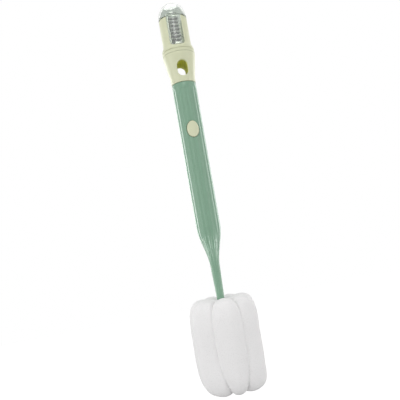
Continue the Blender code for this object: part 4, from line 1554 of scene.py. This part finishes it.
# softboxes that only show in gloss: on the dome, down the window, along the taper and on the rims
reflections = {
    "domeGleam": {
        "place": (-0.03, -0.19, 0.80), "aim": (0, 0, 0.05), "size": 0.95, "power": 22.0,
        "only": "capDome",
    },
    "windowGleam": {"place": (-0.08, -0.88, 0.45), "aim": (0, 0, 0.03), "size": 0.30, "power": 0.9},
    "leftGleam": {"place": (-0.418, -0.167, -0.40), "aim": (0, 0, -0.15), "size": 0.20, "power": 1.25},
    "rightGleam": {"place": (0.322, -0.315, -0.40), "aim": (0, 0, -0.15), "size": 0.20, "power": 1.4},
    "leftSide": {"place": (-0.88, -0.18, -0.10), "aim": (0, 0, -0.12), "size": 0.6, "power": 1.1},
    "rightSide": {"place": (0.79, -0.43, -0.10), "aim": (0, 0, -0.12), "size": 0.6, "power": 1.0},
    "leftStrip": {"place": (-0.60, 0.80, 0.0), "aim": (0, 0, -0.05), "size": 0.8, "power": 5.4},
    "rightStrip": {"place": (0.80, 0.60, 0.0), "aim": (0, 0, -0.05), "size": 0.8, "power": 4.0},
}


def makeCamera():
    view = photo
    lens = bpy.data.cameras.new("photoCamera")
    camera = bpy.data.objects.new("photoCamera", lens)
    bpy.context.scene.collection.objects.link(camera)
    turn = math.radians(-view["turn"])
    lean = math.radians(view["lean"])
    back = Vector((math.sin(turn), -math.cos(turn), 0))
    level = Vector((math.cos(turn), math.sin(turn), 0))
    upright = Vector((0, 0, 1))
    right = level * math.cos(lean) - upright * math.sin(lean)
    up = upright * math.cos(lean) + level * math.sin(lean)
    height = view["topHeight"] - view["metresPerPixel"] * view["levelStation"]
    place = back * view["distance"] + upright * height
    camera.matrix_world = Matrix((
        (right.x, up.x, back.x, place.x),
        (right.y, up.y, back.y, place.y),
        (right.z, up.z, back.z, place.z),
        (0, 0, 0, 1),
    ))
    distanceInPixels = view["distance"] / view["metresPerPixel"]
    lens.sensor_width = view["sensorWidth"]
    lens.lens = view["sensorWidth"] * distanceInPixels / view["size"]
    seenX = view["axisTop"][0] + view["levelStation"] * math.sin(lean)
    seenY = view["axisTop"][1] + view["levelStation"] * math.cos(lean)
    lens.shift_x = 0.5 - seenX / view["size"]
    lens.shift_y = seenY / view["size"] - 0.5
    lens.clip_start = view["clipStart"]
    lens.clip_end = view["clipEnd"]
    bpy.context.scene.camera = camera


def shownWhite(tree):
    # 1 for rays that show the background itself, in glass and gloss too
    path = addNode(tree, "ShaderNodeLightPath").outputs
    camera = Wire(tree, path["Is Camera Ray"])
    glossy = Wire(tree, path["Is Glossy Ray"])
    return camera.to("MAXIMUM", glossy).to("MAXIMUM", Wire(tree, path["Is Transmission Ray"]))


def makeWorld():
    world = bpy.data.worlds.new("paleStudio")
    bpy.context.scene.world = world
    world.use_nodes = True
    tree = world.node_tree
    wires = {"Value": shownWhite(tree), "To Min": stage["worldLevel"], "To Max": 1.0}
    ground = tree.nodes["Background"].inputs
    ground["Color"].default_value = (1.0, 1.0, 1.0, 1.0)
    outOf(tree, "ShaderNodeMapRange", wires).into(ground["Strength"])


def makeFloor():
    shape = bmesh.new()
    bmesh.ops.create_grid(shape, x_segments=1, y_segments=1, size=stage["floorSize"] / 2)
    bmesh.ops.translate(shape, vec=(0, 0, cadLow.z - stage["floorDrop"]), verts=shape.verts)
    floor = addPiece("studioFloor", shape)
    material, tree, shader = newMaterial("paleFloor", {
        "Base Color": stage["floorColour"], "Roughness": 1.0, "Specular IOR Level": 0.0,
    })
    glow = outOf(tree, "ShaderNodeEmission", {"Strength": shownWhite(tree) * stage["glow"]})
    both = outOf(tree, "ShaderNodeAddShader", {0: Wire(tree, shader.outputs[0]), 1: glow})
    both.into(tree.nodes["Material Output"].inputs["Surface"])
    floor.data.materials.append(material)


def makeLamps(rows, inGloss):
    for name, size in rows.items():
        light = bpy.data.lights.new(name, "AREA")
        light.shape = "DISK"
        light.size = size["size"]
        light.energy = size["power"]
        lamp = bpy.data.objects.new(name, light)
        bpy.context.scene.collection.objects.link(lamp)
        lamp.location = size["place"]
        aim = Vector(size["aim"]) - Vector(size["place"])
        lamp.rotation_euler = aim.to_track_quat("-Z", "Y").to_euler()
        lamp.visible_camera = False
        lamp.visible_glossy = inGloss
        lamp.visible_transmission = False
        lamp.visible_diffuse = not inGloss
        if "only" in size:
            lit = bpy.data.collections.new(name + "Lit")
            lit.objects.link(bpy.data.objects[size["only"]])
            lamp.light_linking.receiver_collection = lit


makeCamera()
makeWorld()
makeFloor()
makeLamps(lamps, inGloss=False)
makeLamps(reflections, inGloss=True)
bpy.context.scene.view_settings.view_transform = "Standard"
print("stage set:", len(lamps) + len(reflections), "lamps")
